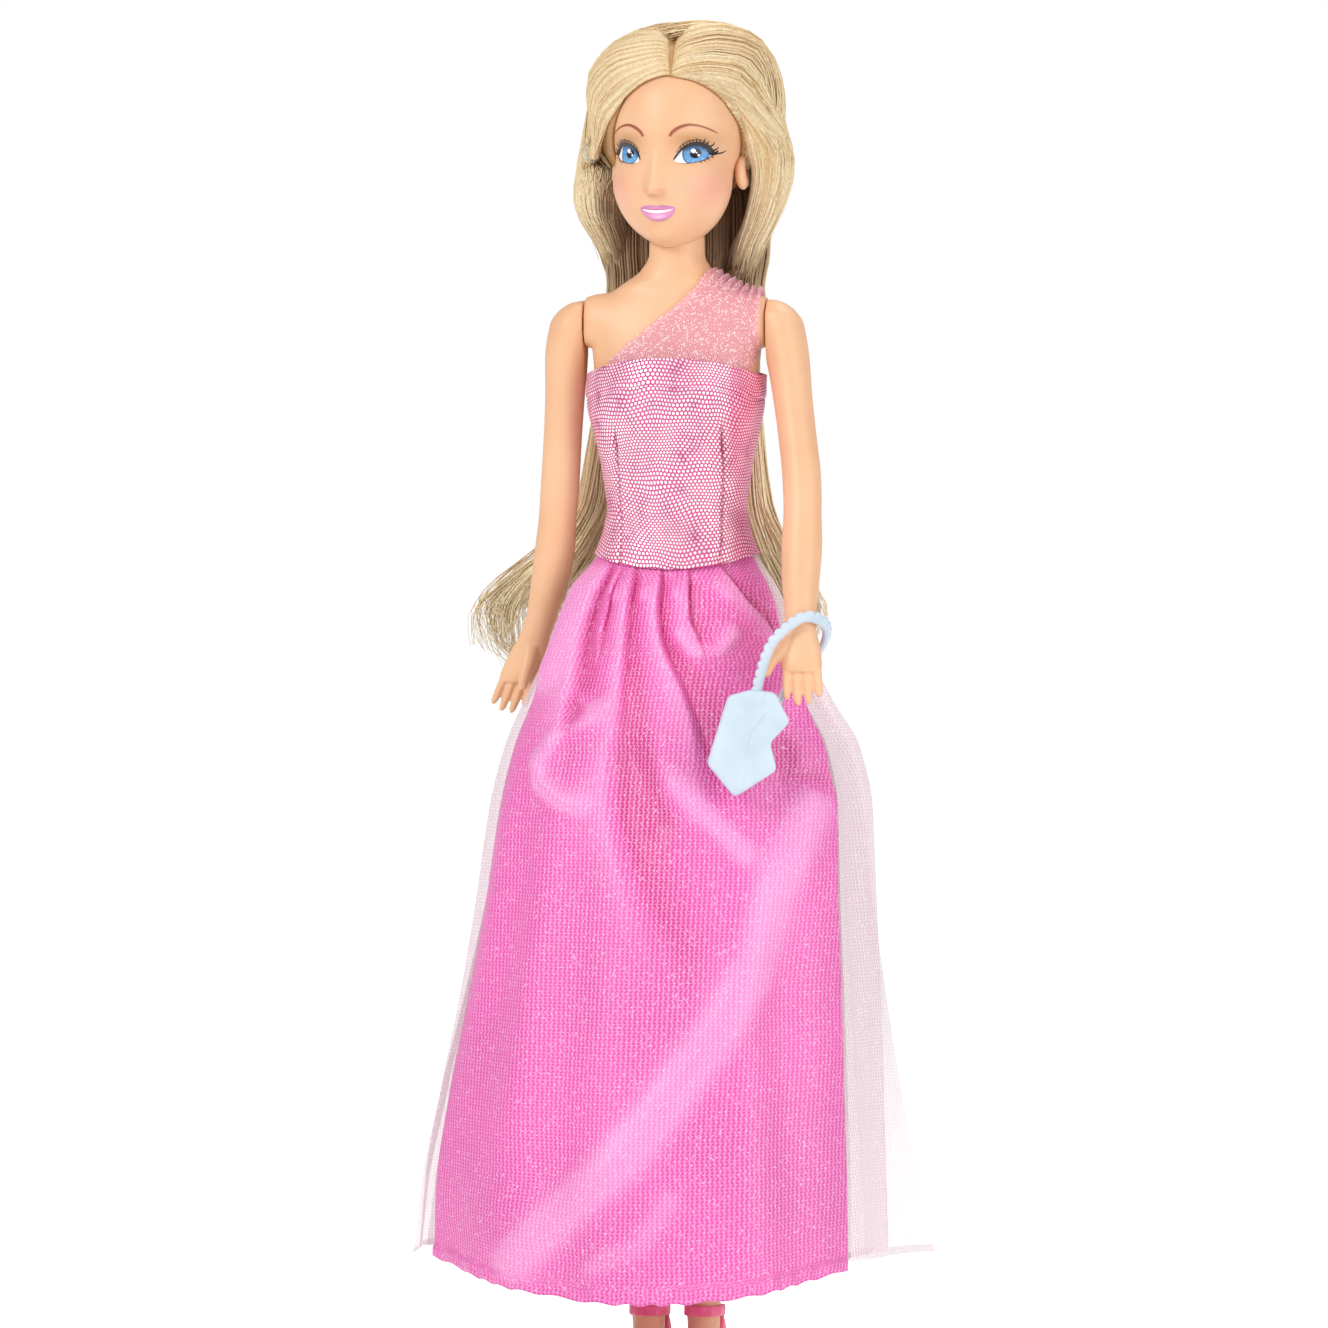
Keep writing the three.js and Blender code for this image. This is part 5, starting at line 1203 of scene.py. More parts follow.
def pleat_height(turn, down, radius):
    """How far the satin stands out: beside each pleat's line the cloth swells on its right side
    and drops sharply on its left, and each ridge adds a bell across its line."""
    height = 0 * turn
    for depth, width, growth, fade, line in PLEATS:
        line = np.array(line)
        at = smooth_table(joined(line[:, 0], np.radians(line[:, 1])), down)[..., 0]
        across = (turn - at) * radius / (width + growth * np.clip(down, 0, 0.26))
        lip = np.exp(-np.maximum(-across, 0) ** 2 / 1.2)
        hollow = np.exp(-np.maximum(across, 0) ** 1.5 / 1.0)
        edge = 0.11 * (1 + 4 * soft_step(down, 0.1, 0.5))
        profile = mix(0.5 * lip, -0.8 * hollow, soft_step(across, -edge, edge))
        strength = soft_step(down, -0.012, 0.03) * (1 - soft_step(down, 0.4 * fade, fade))
        height = height + depth * profile * strength
    for rise, reach, line in RIDGES:
        swell = bell(from_line(turn, down, radius, line), reach)
        height = height + rise * swell * soft_step(down, -0.005, 0.04)
    return height


def hanging_flutes(turn, down):
    """Low waves that open down the satin."""
    wander = 1.6 * np.sin(2.2 * down + turn)
    flutes = 0.75 * np.cos(11 * turn + wander) + 0.25 * np.cos(17 * turn - 3 * down)
    return flutes * soft_step(down, 0.1, 0.7)


def satin_fold_shading(height):
    """The satin's colour by its height: painted shade, deeper rose, in the hollows and a painted
    highlight, paler, on the swells.
    """
    colour = np.array(doll_settings("gown").satin_colour)
    # Painted shade in the hollows, then a painted highlight on the swells.
    colour = painted(colour, linear(208, 16, 126), 0.85 * soft_step(-height, -0.1, 1.0))
    return painted(colour, linear(255, 170, 226), 0.72 * soft_step(height, 0.1, 1.3))


def skirt_points(turn, down, lift, folded=True):
    """A place on the skirt: an oval whose reach comes from the skirt's table, pushed out by the
    lift and the folds. The satin's hem is folded, sewn and puckered, and rises at the sides.
    Gives the places and the folds' height."""
    right, left, front, back = columns_at(SKIRT_SHARES, down)
    s, c = np.sin(turn), np.cos(turn)
    width = np.where(s < 0, right, left) * 50
    depth = np.where(c > 0, front, back) * 41
    height = pleat_height(turn, down, np.hypot(width * c, depth * s)) if folded else 0 * turn
    out = lift + height
    top = 1 - soft_step(down, 0.0, 0.08)
    waist = 1.7 * s * s * top - 0.9 * np.maximum(c, 0) ** 2 * (1 - soft_step(down, 0, 0.05))
    z = SKIRT_TOP_Z - SKIRT_LENGTH * down + 8 * s * s * np.maximum(down, 0) ** 6 + waist
    if folded:
        stitch = bell(down - 0.9785, 0.0016) * (0.6 + 0.4 * np.cos(220 * turn))
        pucker = np.sin(46 * turn + 2 * np.sin(9 * turn)) * soft_step(down, 0.965, 0.99)
        out = out + hanging_flutes(turn, down) + 0.3 * soft_step(down, 0.974, 0.979)
        out = out - 0.4 * stitch + 0.22 * pucker
        z = z + 0.25 * pucker
    return joined((width + out) * s, -(depth + out) * c, z), height


def flute_height(turn, down):
    """Hanging flutes in light cloth: a wave round the skirt that wanders and opens downward,
    with a finer one on it."""
    wander = 1.6 * np.sin(2.2 * down + turn)
    opening = np.minimum(1, 0.35 + np.maximum(down, 0) / 0.25) * (1 - 0.35 * down)
    fine = 0.22 * np.sin(26 * turn + 3 * down) + 0.12 * np.sin(41 * turn - 5 * down)
    return (2.0 * np.cos(11 * turn + wander) + fine) * opening * soft_step(down, -0.02, 0.03)


def sheer_lift(turn, down):
    """The light cloth stands out by its flutes, and swings out at the doll's right by the cube
    of the way down."""
    flare = 5 * np.maximum(down, 0) ** 3 * np.maximum(0, -np.sin(turn)) ** 3
    return flute_height(turn, down) + flare


def veil_lift(turn, down):
    """The veil hangs over the net, further out at the doll's left the lower it is."""
    return 1.2 + sheer_lift(turn, down) + 9 * np.maximum(down, 0) ** 3 * (1 + np.sin(turn)) / 2


def cloth_axes(tree, across, down):
    """The place on the cloth, counted in threads across and down at pitches in metres."""
    cloth = add_node(tree, "UVMap", uv_map="cloth").outputs[0]
    parts = add_node(tree, "SeparateXYZ", {0: cloth})
    return (math_node(tree, "MULTIPLY", parts.outputs[0], 1 / across),
            math_node(tree, "MULTIPLY", parts.outputs[1], 1 / down), parts.outputs[1])


def knit_threads(tree, across, down, zigzag):
    """Knitted net, 1 on its threads: chains run down the cloth in a zigzag, and courses that
    lean a little join them."""
    zig = math_node(tree, "PINGPONG", down, 1.0)
    chain = math_node(tree, "MULTIPLY_ADD", zig, zigzag, across)
    chain = math_node(tree, "PINGPONG", chain, 0.5)
    lean = math_node(tree, "PINGPONG", across, 0.5)
    course = math_node(tree, "MULTIPLY_ADD", lean, 0.5, down)
    course = math_node(tree, "PINGPONG", course, 0.5)
    line = math_node(tree, "MINIMUM", chain, math_node(tree, "ADD", course, 0.08))
    return span(tree, line, 0.06, 0.26, 1.0, 0.0)


def sparks(tree, scale, share):
    """1 on a share of small cells, picked by their random colour, and 0 elsewhere."""
    cells = add_node(tree, "TexVoronoi", {"Vector": object_place(tree), "Scale": scale})
    drawn = add_node(tree, "SeparateXYZ", {0: cells.outputs["Color"]}).outputs[0]
    return span(tree, drawn, 1 - share, 1.02 - share)


def satin_finish():
    """Satin under knitted net: pale threads over glossy satin in the painted shade and highlight
    of its folds, with a slow drift of colour and sparks of tinsel painted as bright glints."""
    made = new_finish("satin_net", Roughness=0.36, Specular_IOR_Level=0.5, Sheen_Weight=0.15,
                      Sheen_Roughness=0.4, Anisotropic=0.4)
    tree = made[1]
    across, down, _ = cloth_axes(tree, 0.00104, 0.00072)
    thread = knit_threads(tree, across, down, 0.34)
    drift = ramp(tree, noise(tree, object_place(tree), 30.0, 3.0),
                 (0.35, linear(238, 234, 240)), (0.65, WHITE))
    base = mixed_colour(tree, 1.0, tint_of(tree), drift, "MULTIPLY")
    deep = mixed_colour(tree, 0.2, base, linear(206, 16, 130))
    pale = mixed_colour(tree, 0.5, base, linear(255, 190, 234))
    netted = mixed_colour(tree, thread, deep, pale)
    # Tinsel sparks: real flakes, whose brightness is a painted glint on random cells.
    spark = math_node(tree, "MULTIPLY", sparks(tree, 3400.0, 0.06), 0.55)
    shade = mixed_colour(tree, spark, netted, linear(255, 214, 244))
    return with_links(made, shade, thread, 0.35, 0.00012)


def sheer_finish(name, colour, thread_colour, cover, hem_at, glitter, pitch=0.0009):
    """Sheer knitted cloth: denser along its threads and its folded hem, clearer between them,
    with glints. cover is how much it hides between the threads."""
    made = new_finish(name, Roughness=0.5, Sheen_Weight=0.2)
    tree = made[1]
    across, down, place = cloth_axes(tree, pitch, 0.78 * pitch)
    thread = knit_threads(tree, across, down, 0.4)
    spark = sparks(tree, 3800.0, glitter)
    shade = mixed_colour(tree, thread, colour, thread_colour)
    shade = mixed_colour(tree, spark, shade, linear(255, 232, 240))
    hem = span(tree, place, hem_at, hem_at + 0.0002, 0.0, 0.22)
    solid = math_node(tree, "ADD", math_node(tree, "MULTIPLY_ADD", thread, 0.2, cover), hem)
    solid = math_node(tree, "MAXIMUM", solid, math_node(tree, "MULTIPLY", spark, 0.8))
    return with_links(made, shade, thread, 0.3, 0.0001, Alpha=solid)


def from_middle(tree, across, down):
    """The length of the step across and down."""
    step = add_node(tree, "CombineXYZ", {0: across, 1: down}).outputs[0]
    return add_node(tree, "VectorMath", {0: step}, operation="LENGTH").outputs["Value"]


def foil_finish():
    """Foil dots on knitted cloth: round spots set like a honeycomb that wanders, on a pink ground.
    A patchy noise paints where the foil catches the light: a painted reflection, silver on the
    dots there and rose elsewhere, with the ground painted darker too. The tint's colours, with
    its painted shade in the darts, are laid over it."""
    made = new_finish("foil_dots", Specular_IOR_Level=0.5)
    tree = made[1]
    ground = np.array(doll_settings("gown").foil_colour)
    cloth = add_node(tree, "UVMap", uv_map="cloth").outputs[0]
    sway = add_node(tree, "TexNoise", {"Vector": cloth, "Scale": 80.0, "Detail": 1.0})
    sway = add_node(tree, "VectorMath", {0: sway.outputs["Color"], "Scale": 0.0042},
                    operation="SCALE").outputs[0]
    bent = add_node(tree, "VectorMath", {0: cloth, 1: sway}, operation="ADD").outputs[0]
    parts = add_node(tree, "SeparateXYZ", {0: bent})
    across, down = (
        math_node(tree, "PINGPONG", math_node(tree, "MULTIPLY", part, 1 / DOT_PITCH), half)
        for part, half in zip(parts.outputs, (0.5, HONEYCOMB_HALF)))
    nearest = math_node(
        tree, "MINIMUM", from_middle(tree, across, down),
        from_middle(tree, math_node(tree, "SUBTRACT", 0.5, across),
                    math_node(tree, "SUBTRACT", HONEYCOMB_HALF, down)))
    dot = span(tree, nearest, 0.3, 0.38, 1.0, 0.0)
    # Painted reflection and shade: the patchy noise picks silver foil and full ground, or rose foil
    # and darker ground.
    patchy = noise(tree, object_place(tree), 170.0, 6.0, 0.72)
    ground_shade = ramp(tree, patchy, (0.34, ground * 0.62), (0.52, ground))
    foil = ramp(tree, patchy, (0.33, linear(226, 140, 182)), (0.42, linear(250, 222, 234)),
                (0.6, linear(255, 252, 253)))
    dotted = mixed_colour(tree, dot, ground_shade, foil)
    dotted = mixed_colour(tree, 1.0, dotted, tint_of(tree), "MULTIPLY")
    return with_links(made, dotted, dot, 0.4, 0.0001,
                      Metallic=math_node(tree, "MULTIPLY", dot, 0.25),
                      Roughness=span(tree, dot, 0.0, 1.0, 0.62, 0.3))


class DOLL_OT_bodice(bpy.types.Operator):
    """Make the foil-dotted bodice with its darts and folded top"""
    bl_idname = "doll.bodice"
    bl_label = "Bodice"

    def execute(self, context):
        half = math.pi - math.radians(3)
        turn, height = np.meshgrid(np.linspace(-half, half, 560), np.linspace(1, 0, 190))
        points, shade = bodice_points(turn, height, CLOTH_LIFT)
        bodice = cloth_piece("bodice_cloth", points, foil_finish(), "bodice",
                             shade)
        thickened(bodice)
        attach(bodice, "torso")
        return {"FINISHED"}


def skirt_piece(name, node, from_degrees, to_degrees, columns, rows, lift, finish, slot, high):
    """One panel of the skirt, hung from the waist."""
    share, down = np.meshgrid(np.linspace(0, 1, columns), np.concatenate([
        np.linspace(high, 0.15, rows // 3, endpoint=False),
        np.linspace(0.15, 1, rows - rows // 3)]))
    wider = 14 * (1 - soft_step(down, 0.02, 0.24)) * (slot == "satin")
    turn = np.radians(mix(from_degrees, to_degrees + wider, share))
    points, height = skirt_points(turn, down, lift(turn, down), slot == "satin")
    # The satin's tint carries painted shade and highlight from its folds' height.
    piece = cloth_piece(name, points, finish, node,
                        satin_fold_shading(height))
    if slot == "satin":
        thickened(piece)
    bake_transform(piece)


class DOLL_OT_skirt(bpy.types.Operator):
    """Make the pleated satin front panel and the two sheer layers behind it"""
    bl_idname = "doll.skirt"
    bl_label = "Skirt"

    def execute(self, context):
        skirt_piece("skirt_satin", "skirt_front", -72, 62, 620, 300,
                    lambda turn, down: 0.1, satin_finish(), "satin", -0.008)
        tulle = sheer_finish("tulle_net", linear(255, 226, 240), linear(255, 246, 251), 0.46,
                             0.1545, 0.05)
        skirt_piece("skirt_net", "skirt_tulle", 62.8, 287.2, 560, 130, sheer_lift, tulle,
                    "tulle", -0.008)
        veil = sheer_finish("veil_net", linear(255, 246, 250), linear(255, 252, 254), 0.42,
                            0.1538, 0.04)
        skirt_piece("skirt_veil", "skirt_overlay", 105, 255, 400, 120, veil_lift, veil,
                    "overlay", 0.0)
        return {"FINISHED"}


# Each row: the turn over the shoulder, then the inner and the outer edge in x, in shares of
# half the shoulders' span.
DRAPE_SHARES = (
    (0.00, -0.70, 0.95), (0.15, -0.30, 0.95), (0.30, 0.10, 0.95), (0.42, 0.36, 0.96),
    (0.50, 0.45, 0.96), (0.58, 0.40, 0.96), (0.70, 0.20, 0.95), (0.85, -0.05, 0.95),
    (1.00, -0.30, 0.95),
)


def drape_points(u, v, lift):
    """Sheer cloth over the left shoulder: each point is sought outward from a line in the
    shoulder by halving, until it leaves the body, then lifted by the gathers."""
    inner, outer = columns_at(DRAPE_SHARES, v)
    x = mix(inner, outer, u) * SHOULDER_HALF_SPAN
    turn = np.radians(mix(-121 - 26 * u ** 3, 118, v))
    along_y, along_z = np.sin(turn), np.cos(turn)
    pivot = SHOULDER_Z - SHOULDER_RADIUS / 2

    def in_body(middle):
        y, z = along_y * middle, np.clip(pivot + along_z * middle, 151, 249)
        return np.hypot(x, y) < torso_reach(np.arctan2(y, x), z)

    near = last_inside(in_body, np.zeros_like(x), np.full_like(x, 40.0), 24)
    top = bell(v - 0.5, 0.12)
    gather = (0.16 + 0.55 * top) * (1 + np.cos(TAU * 7 * u + 2 * np.sin(3 * v)))
    soft = 0.3 * (1 + np.sin(9 * u + 7 * v)) * np.sin(math.pi * v)
    rolled = 0.5 * bell(u, 0.03) * top
    reach = near + 0.4 + (gather + soft) * np.sin(math.pi * np.clip(v, 0, 1)) ** 0.5 + rolled + lift
    return joined(x, along_y * reach, pivot + along_z * reach)


class DOLL_OT_drape(bpy.types.Operator):
    """Make the sheer shoulder drape with its gathered top"""
    bl_idname = "doll.drape"
    bl_label = "Shoulder drape"

    def execute(self, context):
        sheer = sheer_finish("drape_net", linear(240, 146, 172), linear(252, 190, 206), 0.5,
                             1.0, 0.16, 0.0005)
        points = drape_points(*np.meshgrid(np.linspace(0, 1, 150), np.linspace(0, 1, 220)), 0.1)
        drape = cloth_piece("drape_cloth", points, sheer, "shoulder_drape")
        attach(drape, "torso")
        return {"FINISHED"}


# Purse
WRIST = np.array([29.2, -19.16, 166.84])
BAG_SHARES = (
    (0.26, 0.97), (0.54, 1.03), (0.83, 1.00), (1.00, 0.72), (0.76, 0.52), (0.84, 0.26),
    (0.34, 0.00), (0.00, 0.32),
)
BAG_LOW = np.array([10.8, 129.9])
BAG_SIZE = np.array([17.3, 22.0])
BAG_Y = -27.6
BAG_HALF = 2.1
RIDGE = ((129, 17.6), (132.6, 18.1), (136, 19.5), (138.8, 18.9), (143.6, 20.2), (147.2, 23.0),
         (153.4, 23.2))
STRAP_SHARES = (
    (-0.50, -0.49, -1.02), (-0.42, -0.46, -0.66), (-0.30, -0.38, -0.30), (-0.08, -0.29, -0.06),
    (0.13, -0.24, 0.04), (0.30, -0.05, -0.05), (0.28, 0.20, -0.25), (0.10, 0.29, -0.52),
    (-0.16, 0.10, -0.80), (-0.24, -0.12, -0.99), (-0.25, -0.46, -1.06),
)


def rounded_outline(corners, radius, per_corner=9, per_side=14):
    """A closed outline with each corner replaced by a quadratic curve between two points that
    lie the radius away from it."""
    pieces = []
    for before, corner, after in zip(np.roll(corners, 1, 0), corners, np.roll(corners, -1, 0)):
        start = corner + unit(before - corner) * radius
        end = corner + unit(after - corner) * radius
        t = np.linspace(0, 1, per_corner)[:, None]
        pieces.append((1 - t) ** 2 * start + 2 * t * (1 - t) * corner + t * t * end)
        to = after + unit(corner - after) * radius
        pieces.append(mix(end, to, np.linspace(0, 1, per_side + 2)[1:-1, None]))
    return np.vstack(pieces)


def bag_patch():
    """The bag: its outline drawn in towards its middle over a flat back and a front whose right
    part slopes away from the ridge. The rim is rounded by a quarter circle."""
    outline = rounded_outline(BAG_LOW + np.array(BAG_SHARES) * BAG_SIZE, 1.1)
    middle = np.array([18.0, 141.4])
    inset = 1 - np.sin(np.linspace(0, math.pi / 2, 7))
    ahead = unit(np.roll(outline, -1, 0) - np.roll(outline, 1, 0))
    inward = joined(-ahead[:, 1], ahead[:, 0])
    inward *= np.sign(((middle - outline) * inward).sum(1, keepdims=True))
    edge = outline + inward * 1.0
    fill = np.concatenate([np.linspace(0.02, 0.97, 22), [1.0]])
    faces = [mix(middle, edge, q) for q in fill]
    xz = np.array(faces + [outline + inward * d for d in inset[1:]])
    rounding = 1 - np.sqrt(1 - (1 - inset[1:]) ** 2)
    depth = np.concatenate([np.full(len(faces), BAG_HALF), BAG_HALF - rounding])
    ridge_x = np.interp(xz[..., 1], *np.array(RIDGE).T)
    slope = 0.34 * np.logaddexp(0, (xz[..., 0] - ridge_x) / 0.12) * 0.12
    step = 0.3 * soft_step(xz[..., 0] - ridge_x, -0.15, 0.3)
    share = np.clip(depth / BAG_HALF, 0, 1)[:, None]
    front = -depth[:, None] + (slope + step) * share
    back = depth[:, None] + 0 * slope
    rows = [joined(xz[..., 0], BAG_Y + side, xz[..., 1]) for side in (back, front)]
    return closed(np.concatenate([rows[0], rows[1][::-1]]))


def strap_patch():
    """The strap: an oval section along a smooth path, whose outer edge swells into scallops,
    the absolute value of a sine along its length."""
    path = WRIST + np.array(STRAP_SHARES) * 17.0
    path = catmull(path[None], 420)[0]
    length = along_path(path)
    along = unit(np.gradient(path, axis=0))
    centre = WRIST + np.array([0.3, 0, -9.0])
    away = path - centre
    away = unit(away - along * (away * along).sum(1, keepdims=True))
    side = np.cross(along, away)
    tooth = 0.62 * np.abs(np.sin(math.pi * length / 1.85)) ** 0.8
    ends = soft_step(length, 1.0, 3.0) * soft_step(length[-1] - length, 1.0, 12.0)
    c, s = np.cos(turns(20)), np.sin(turns(20))
    wide = 0.98 + (tooth * ends)[:, None] * (c > 0) * np.abs(c)
    points = (path[:, None] + away[:, None] * (wide * c)[..., None]
              + side[:, None] * (0.74 * np.sign(s) * np.abs(s) ** 0.75)[:, None])
    return closed(points)


class DOLL_OT_purse(bpy.types.Operator):
    """Make the pale blue purse with its ridge and scalloped wrist strap"""
    bl_idname = "doll.purse"
    bl_label = "Purse"

    def execute(self, context):
        finish = mottled("purse_plastic", linear(194, 211, 224), linear(208, 223, 234), 160.0,
                         2600.0, Roughness=0.38, Specular_IOR_Level=0.4, Subsurface_Weight=0.1,
                         Subsurface_Scale=0.003)
        purse = build_piece("purse_plastic", [bag_patch(), strap_patch()], finish)
        placed(purse, "purse", "purse", "purse")
        return {"FINISHED"}


# Hair. The hairline is the turn from the front and how far down it lies, in half turns.
HAIRLINE_SHARES = (
    (-1.00, 0.75), (-0.60, 0.68), (-0.45, 0.56), (-0.345, 0.455), (-0.29, 0.39), (-0.17, 0.245),
    (0.00, 0.205), (0.17, 0.22), (0.345, 0.283), (0.50, 0.43), (0.56, 0.56), (0.70, 0.68),
    (1.00, 0.75),
)
# Shares of the side hair's length, then its reach outward on the left and on the right,
# its middle in y, half width and half depth.
SIDE_HAIR_SHARES = (
    (0.00, 1.65, 1.65, 0.40, 0.35, 0.70), (0.12, 2.05, 2.10, 0.45, 0.80, 1.25),
    (0.28, 2.28, 2.42, 0.60, 0.98, 1.38), (0.48, 2.42, 2.78, 0.90, 0.93, 1.32),
    (0.68, 2.08, 2.74, 1.25, 0.82, 1.15), (0.85, 1.65, 2.50, 1.60, 0.74, 0.90),
    (1.00, 1.25, 2.28, 1.85, 0.66, 0.62),
)
SIDE_HAIR_TOP_Z = 281.0
SIDE_HAIR_LENGTH = 41.2
SIDE_HAIR_UNIT = 7.0
# Shares of the fall's length, then its middle in x and y, half width and half depth.
FALL_SHARES = (
    (0.00, 0.00, 4.38, 0.70, 1.30), (0.06, 0.00, 4.25, 0.82, 1.50),
    (0.13, 0.00, 3.90, 0.88, 1.60), (0.20, 0.00, 3.65, 0.88, 1.45),
    (0.26, -0.02, 3.80, 0.84, 1.15), (0.33, -0.05, 3.85, 0.84, 1.00),
    (0.42, -0.10, 4.05, 0.86, 0.88), (0.56, -0.13, 4.05, 0.93, 0.82),
    (0.68, -0.16, 4.15, 1.03, 0.80), (0.77, -0.26, 4.75, 1.32, 0.75),
    (0.84, -0.40, 5.75, 1.68, 0.68), (0.90, -0.46, 6.45, 1.90, 0.56),
    (0.96, -0.46, 6.85, 1.86, 0.42), (1.00, -0.42, 7.00, 1.62, 0.15),
)
FALL_TOP_Z = 266.0
FALL_LENGTH = 110.0
FALL_HALF_WIDTH = 20.0
FALL_HALF_DEPTH = 4.0
FALL_CLUMPS = 54
# The front lock's middle line from the head's middle, in shares of the head's half width.
TWIST_SHARES = ((-0.98, -0.52, 0.20), (-1.19, -0.20, 0.06), (-1.37, 0.10, -0.06),
                (-1.52, 0.34, -0.20))


def crown_lift(direction):
    """How thick the hair lies on the scalp in a direction: full beside the part, thin at the
    hairline, and dipping along the part."""
    around = np.arctan2(direction[..., 0], -direction[..., 1])
    down = np.arccos(np.clip(direction[..., 2], -1, 1))
    edge = math.pi * smooth_table(HAIRLINE_SHARES, around / math.pi)[..., 0]
    inward = 1 - np.minimum(down / edge, 1) ** 4
    rise = np.minimum(1, np.sin(down) / math.sin(math.radians(40)))
    full = 2.3 + np.where(around > 0, 6.6, 4.0) * np.sin(around) ** 2 * rise
    part = 0.8 * bell(around / math.pi - 0.06, 0.03)
    return 0.9 + (full - part) * inward


def on_crown(direction, lift):
    """Places over the scalp at a share of the hair's thickness."""
    return direction * (head_reach(direction) + crown_lift(direction) * lift)[..., None]


def crown_direction(around_degrees, down_degrees):
    """The direction at angles round from the front and down from the top."""
    return head_direction(np.radians(around_degrees), np.radians(down_degrees))


def turned_between(a, b, share):
    """Directions on the great circle from a to b."""
    angle = np.arccos(np.clip((a * b).sum(-1, keepdims=True), -0.9999, 0.9999))
    return (np.sin((1 - share) * angle) * a + np.sin(share * angle) * b) / np.sin(angle)


def swept(start, end, steps, lift):
    """Places over the scalp on the great circle from start to end, one for each step."""
    return [on_crown(unit(turned_between(start, end, step)), lift) for step in steps]


def side_place(side, around, down, depth):
    """A place on a side lock, about the head's middle: around its oval from the front over the
    outside to the back, down its length, and in from its surface by a share. The left lock is
    flat inside, behind the ear, and the right one draws back round the tied front lock."""
    left, right, y, width, thick = columns_at(SIDE_HAIR_SHARES, down)
    x = left if side > 0 else right
    c, s = np.cos(around), np.sin(around)
    flat = 1 - soft_step(down, 0.75, 1.0)
    if side > 0:
        c = np.where(c < 0, c * (1 - 0.75 * flat), c)
        s = np.where(s < 0, s * (1 - 0.45 * flat), s)
    z = SIDE_HAIR_TOP_Z - SIDE_HAIR_LENGTH * down - HEAD_Z
    place = joined(side * SIDE_HAIR_UNIT * (x + width * depth * c),
                   SIDE_HAIR_UNIT * (y + thick * depth * s), z + 0 * c)
    if side < 0:
        pinch = bell(z + 0.9, 5.5) * soft_step(-np.sin(around), -0.5, 0.5)
        place = place + pinch[..., None] * [2.6, 6.5, 0]
    return place


def hair_tint(count, rows, seed, clump, shade=0.0):
    """A colour for each strand between the dark and the light hair: a seeded share for each
    strand, a share for its clump, roots darkened as painted shade, and a red-brown painted shade
    where light hardly comes."""
    random = np.random.default_rng(seed)
    settings = doll_settings("hair")
    dark, light = np.array(settings.dark_colour), np.array(settings.light_colour)
    own = random.beta(2.2, 2.0, count) * 0.6 + 0.4 * clump
    along = np.linspace(0, 1, rows)
    # The darker roots are painted shade.
    share = own[:, None] - 0.35 * np.exp(-along / 0.05) + 0.25 * soft_step(along, 0.5, 0.95)
    colour = painted(dark, light, np.clip(share, 0, 1))
    return painted(colour, linear(106, 56, 30), np.broadcast_to(shade, share.shape))


def strand_radii(count, rows, seed, tip):
    """Half widths along each strand, thinner at its root and drawn out at its tip."""
    random = np.random.default_rng(seed)
    width = doll_settings("hair").strand_width / MM / 2 * random.uniform(0.75, 1.25, count)
    along = np.linspace(0, 1, rows)
    shape = (0.6 + 0.4 * soft_step(along, 0, 0.08)) * (1 - (1 - tip) * soft_step(along, 0.75, 1.0))
    return width[:, None] * shape


def strand_tubes(paths, seed, clump, shade=0.0, tip=0.25):
    """The strands along paths (n, rows, 3), with their widths and colours."""
    count, rows = paths.shape[:2]
    return tubes(paths, strand_radii(count, rows, seed + 1, tip),
                 hair_tint(count, rows, seed + 2, clump, shade))


def down_lock(side, around, down, reach, depth):
    """A place down a side lock, whose strands draw together near its end."""
    narrow = 1 - 0.3 * max(down - 0.74, 0) / 0.26
    return side_place(side, around, down * reach, depth * narrow)


def parted_ends(places, random):
    """Smooth paths through the places, whose last ones part a little and turn under."""
    apart = random.normal(0, 0.5, places[-1].shape)
    places[-1] = places[-1] + apart + [0, 1.8, -1.0]
    return catmull(np.stack(places, 1), STRAND_ROWS)


def hair_finish(name):
    """Saran hair: pale golden strands with a tight gloss that runs across them."""
    made = new_finish(name, Roughness=0.38, Specular_IOR_Level=0.42)
    tree = made[1]
    fine = noise(tree, object_place(tree), 1600.0)
    shade = ramp(tree, fine, (0.3, linear(240, 234, 224)), (0.6, WHITE))
    shade = mixed_colour(tree, 1.0, tint_of(tree), shade, "MULTIPLY")
    return with_links(made, shade, fine, 0.15, 0.0001)


def crown_shell():
    """Packed hair over the scalp, closed back inside it, darker than the strands as painted shade.
    """
    around = turns(120) - math.pi
    edge = math.pi * smooth_table(HAIRLINE_SHARES, around / math.pi)[:, 0]
    share = np.linspace(0.02, 1, 60)[:, None]
    direction = head_direction(around, edge * share)
    outer = on_crown(direction, 0.72)
    inner = direction * (head_reach(direction) + 0.15)[..., None]
    grid = np.concatenate([outer, inner[::-1]])
    # Painted shade: the dark packed hair shows between the strands as shadow.
    return closed(on_head(grid), linear(186, 142, 92))


def side_shell(side):
    """Packed hair inside a side lock, dark as painted shade under the strands."""
    around, down = np.meshgrid(turns(40), np.linspace(0, 0.99, 40))
    depth = 0.4 + 0.42 * soft_step(down, 0.05, 0.4) - 0.3 * soft_step(down, 0.8, 1.0)
    grid = side_place(side, around, down, depth)
    if side > 0:
        ahead = soft_step(-np.sin(around), 0.0, 0.7) * soft_step(down, 0.1, 0.3)
        grid[..., 1] += 3.6 * ahead * (1 - soft_step(down, 0.75, 1.0))
    return closed(on_head(grid), HAIR_SHELL_SHADE)


# Rows of places along a strand, strands in the front lock, and the packed hair's painted shade: a
# dark colour under the strands, so the gaps between them read as shadow
STRAND_ROWS = 30
FRONT_LOCK_STRANDS = 900
HAIR_SHELL_SHADE = linear(124, 76, 44)
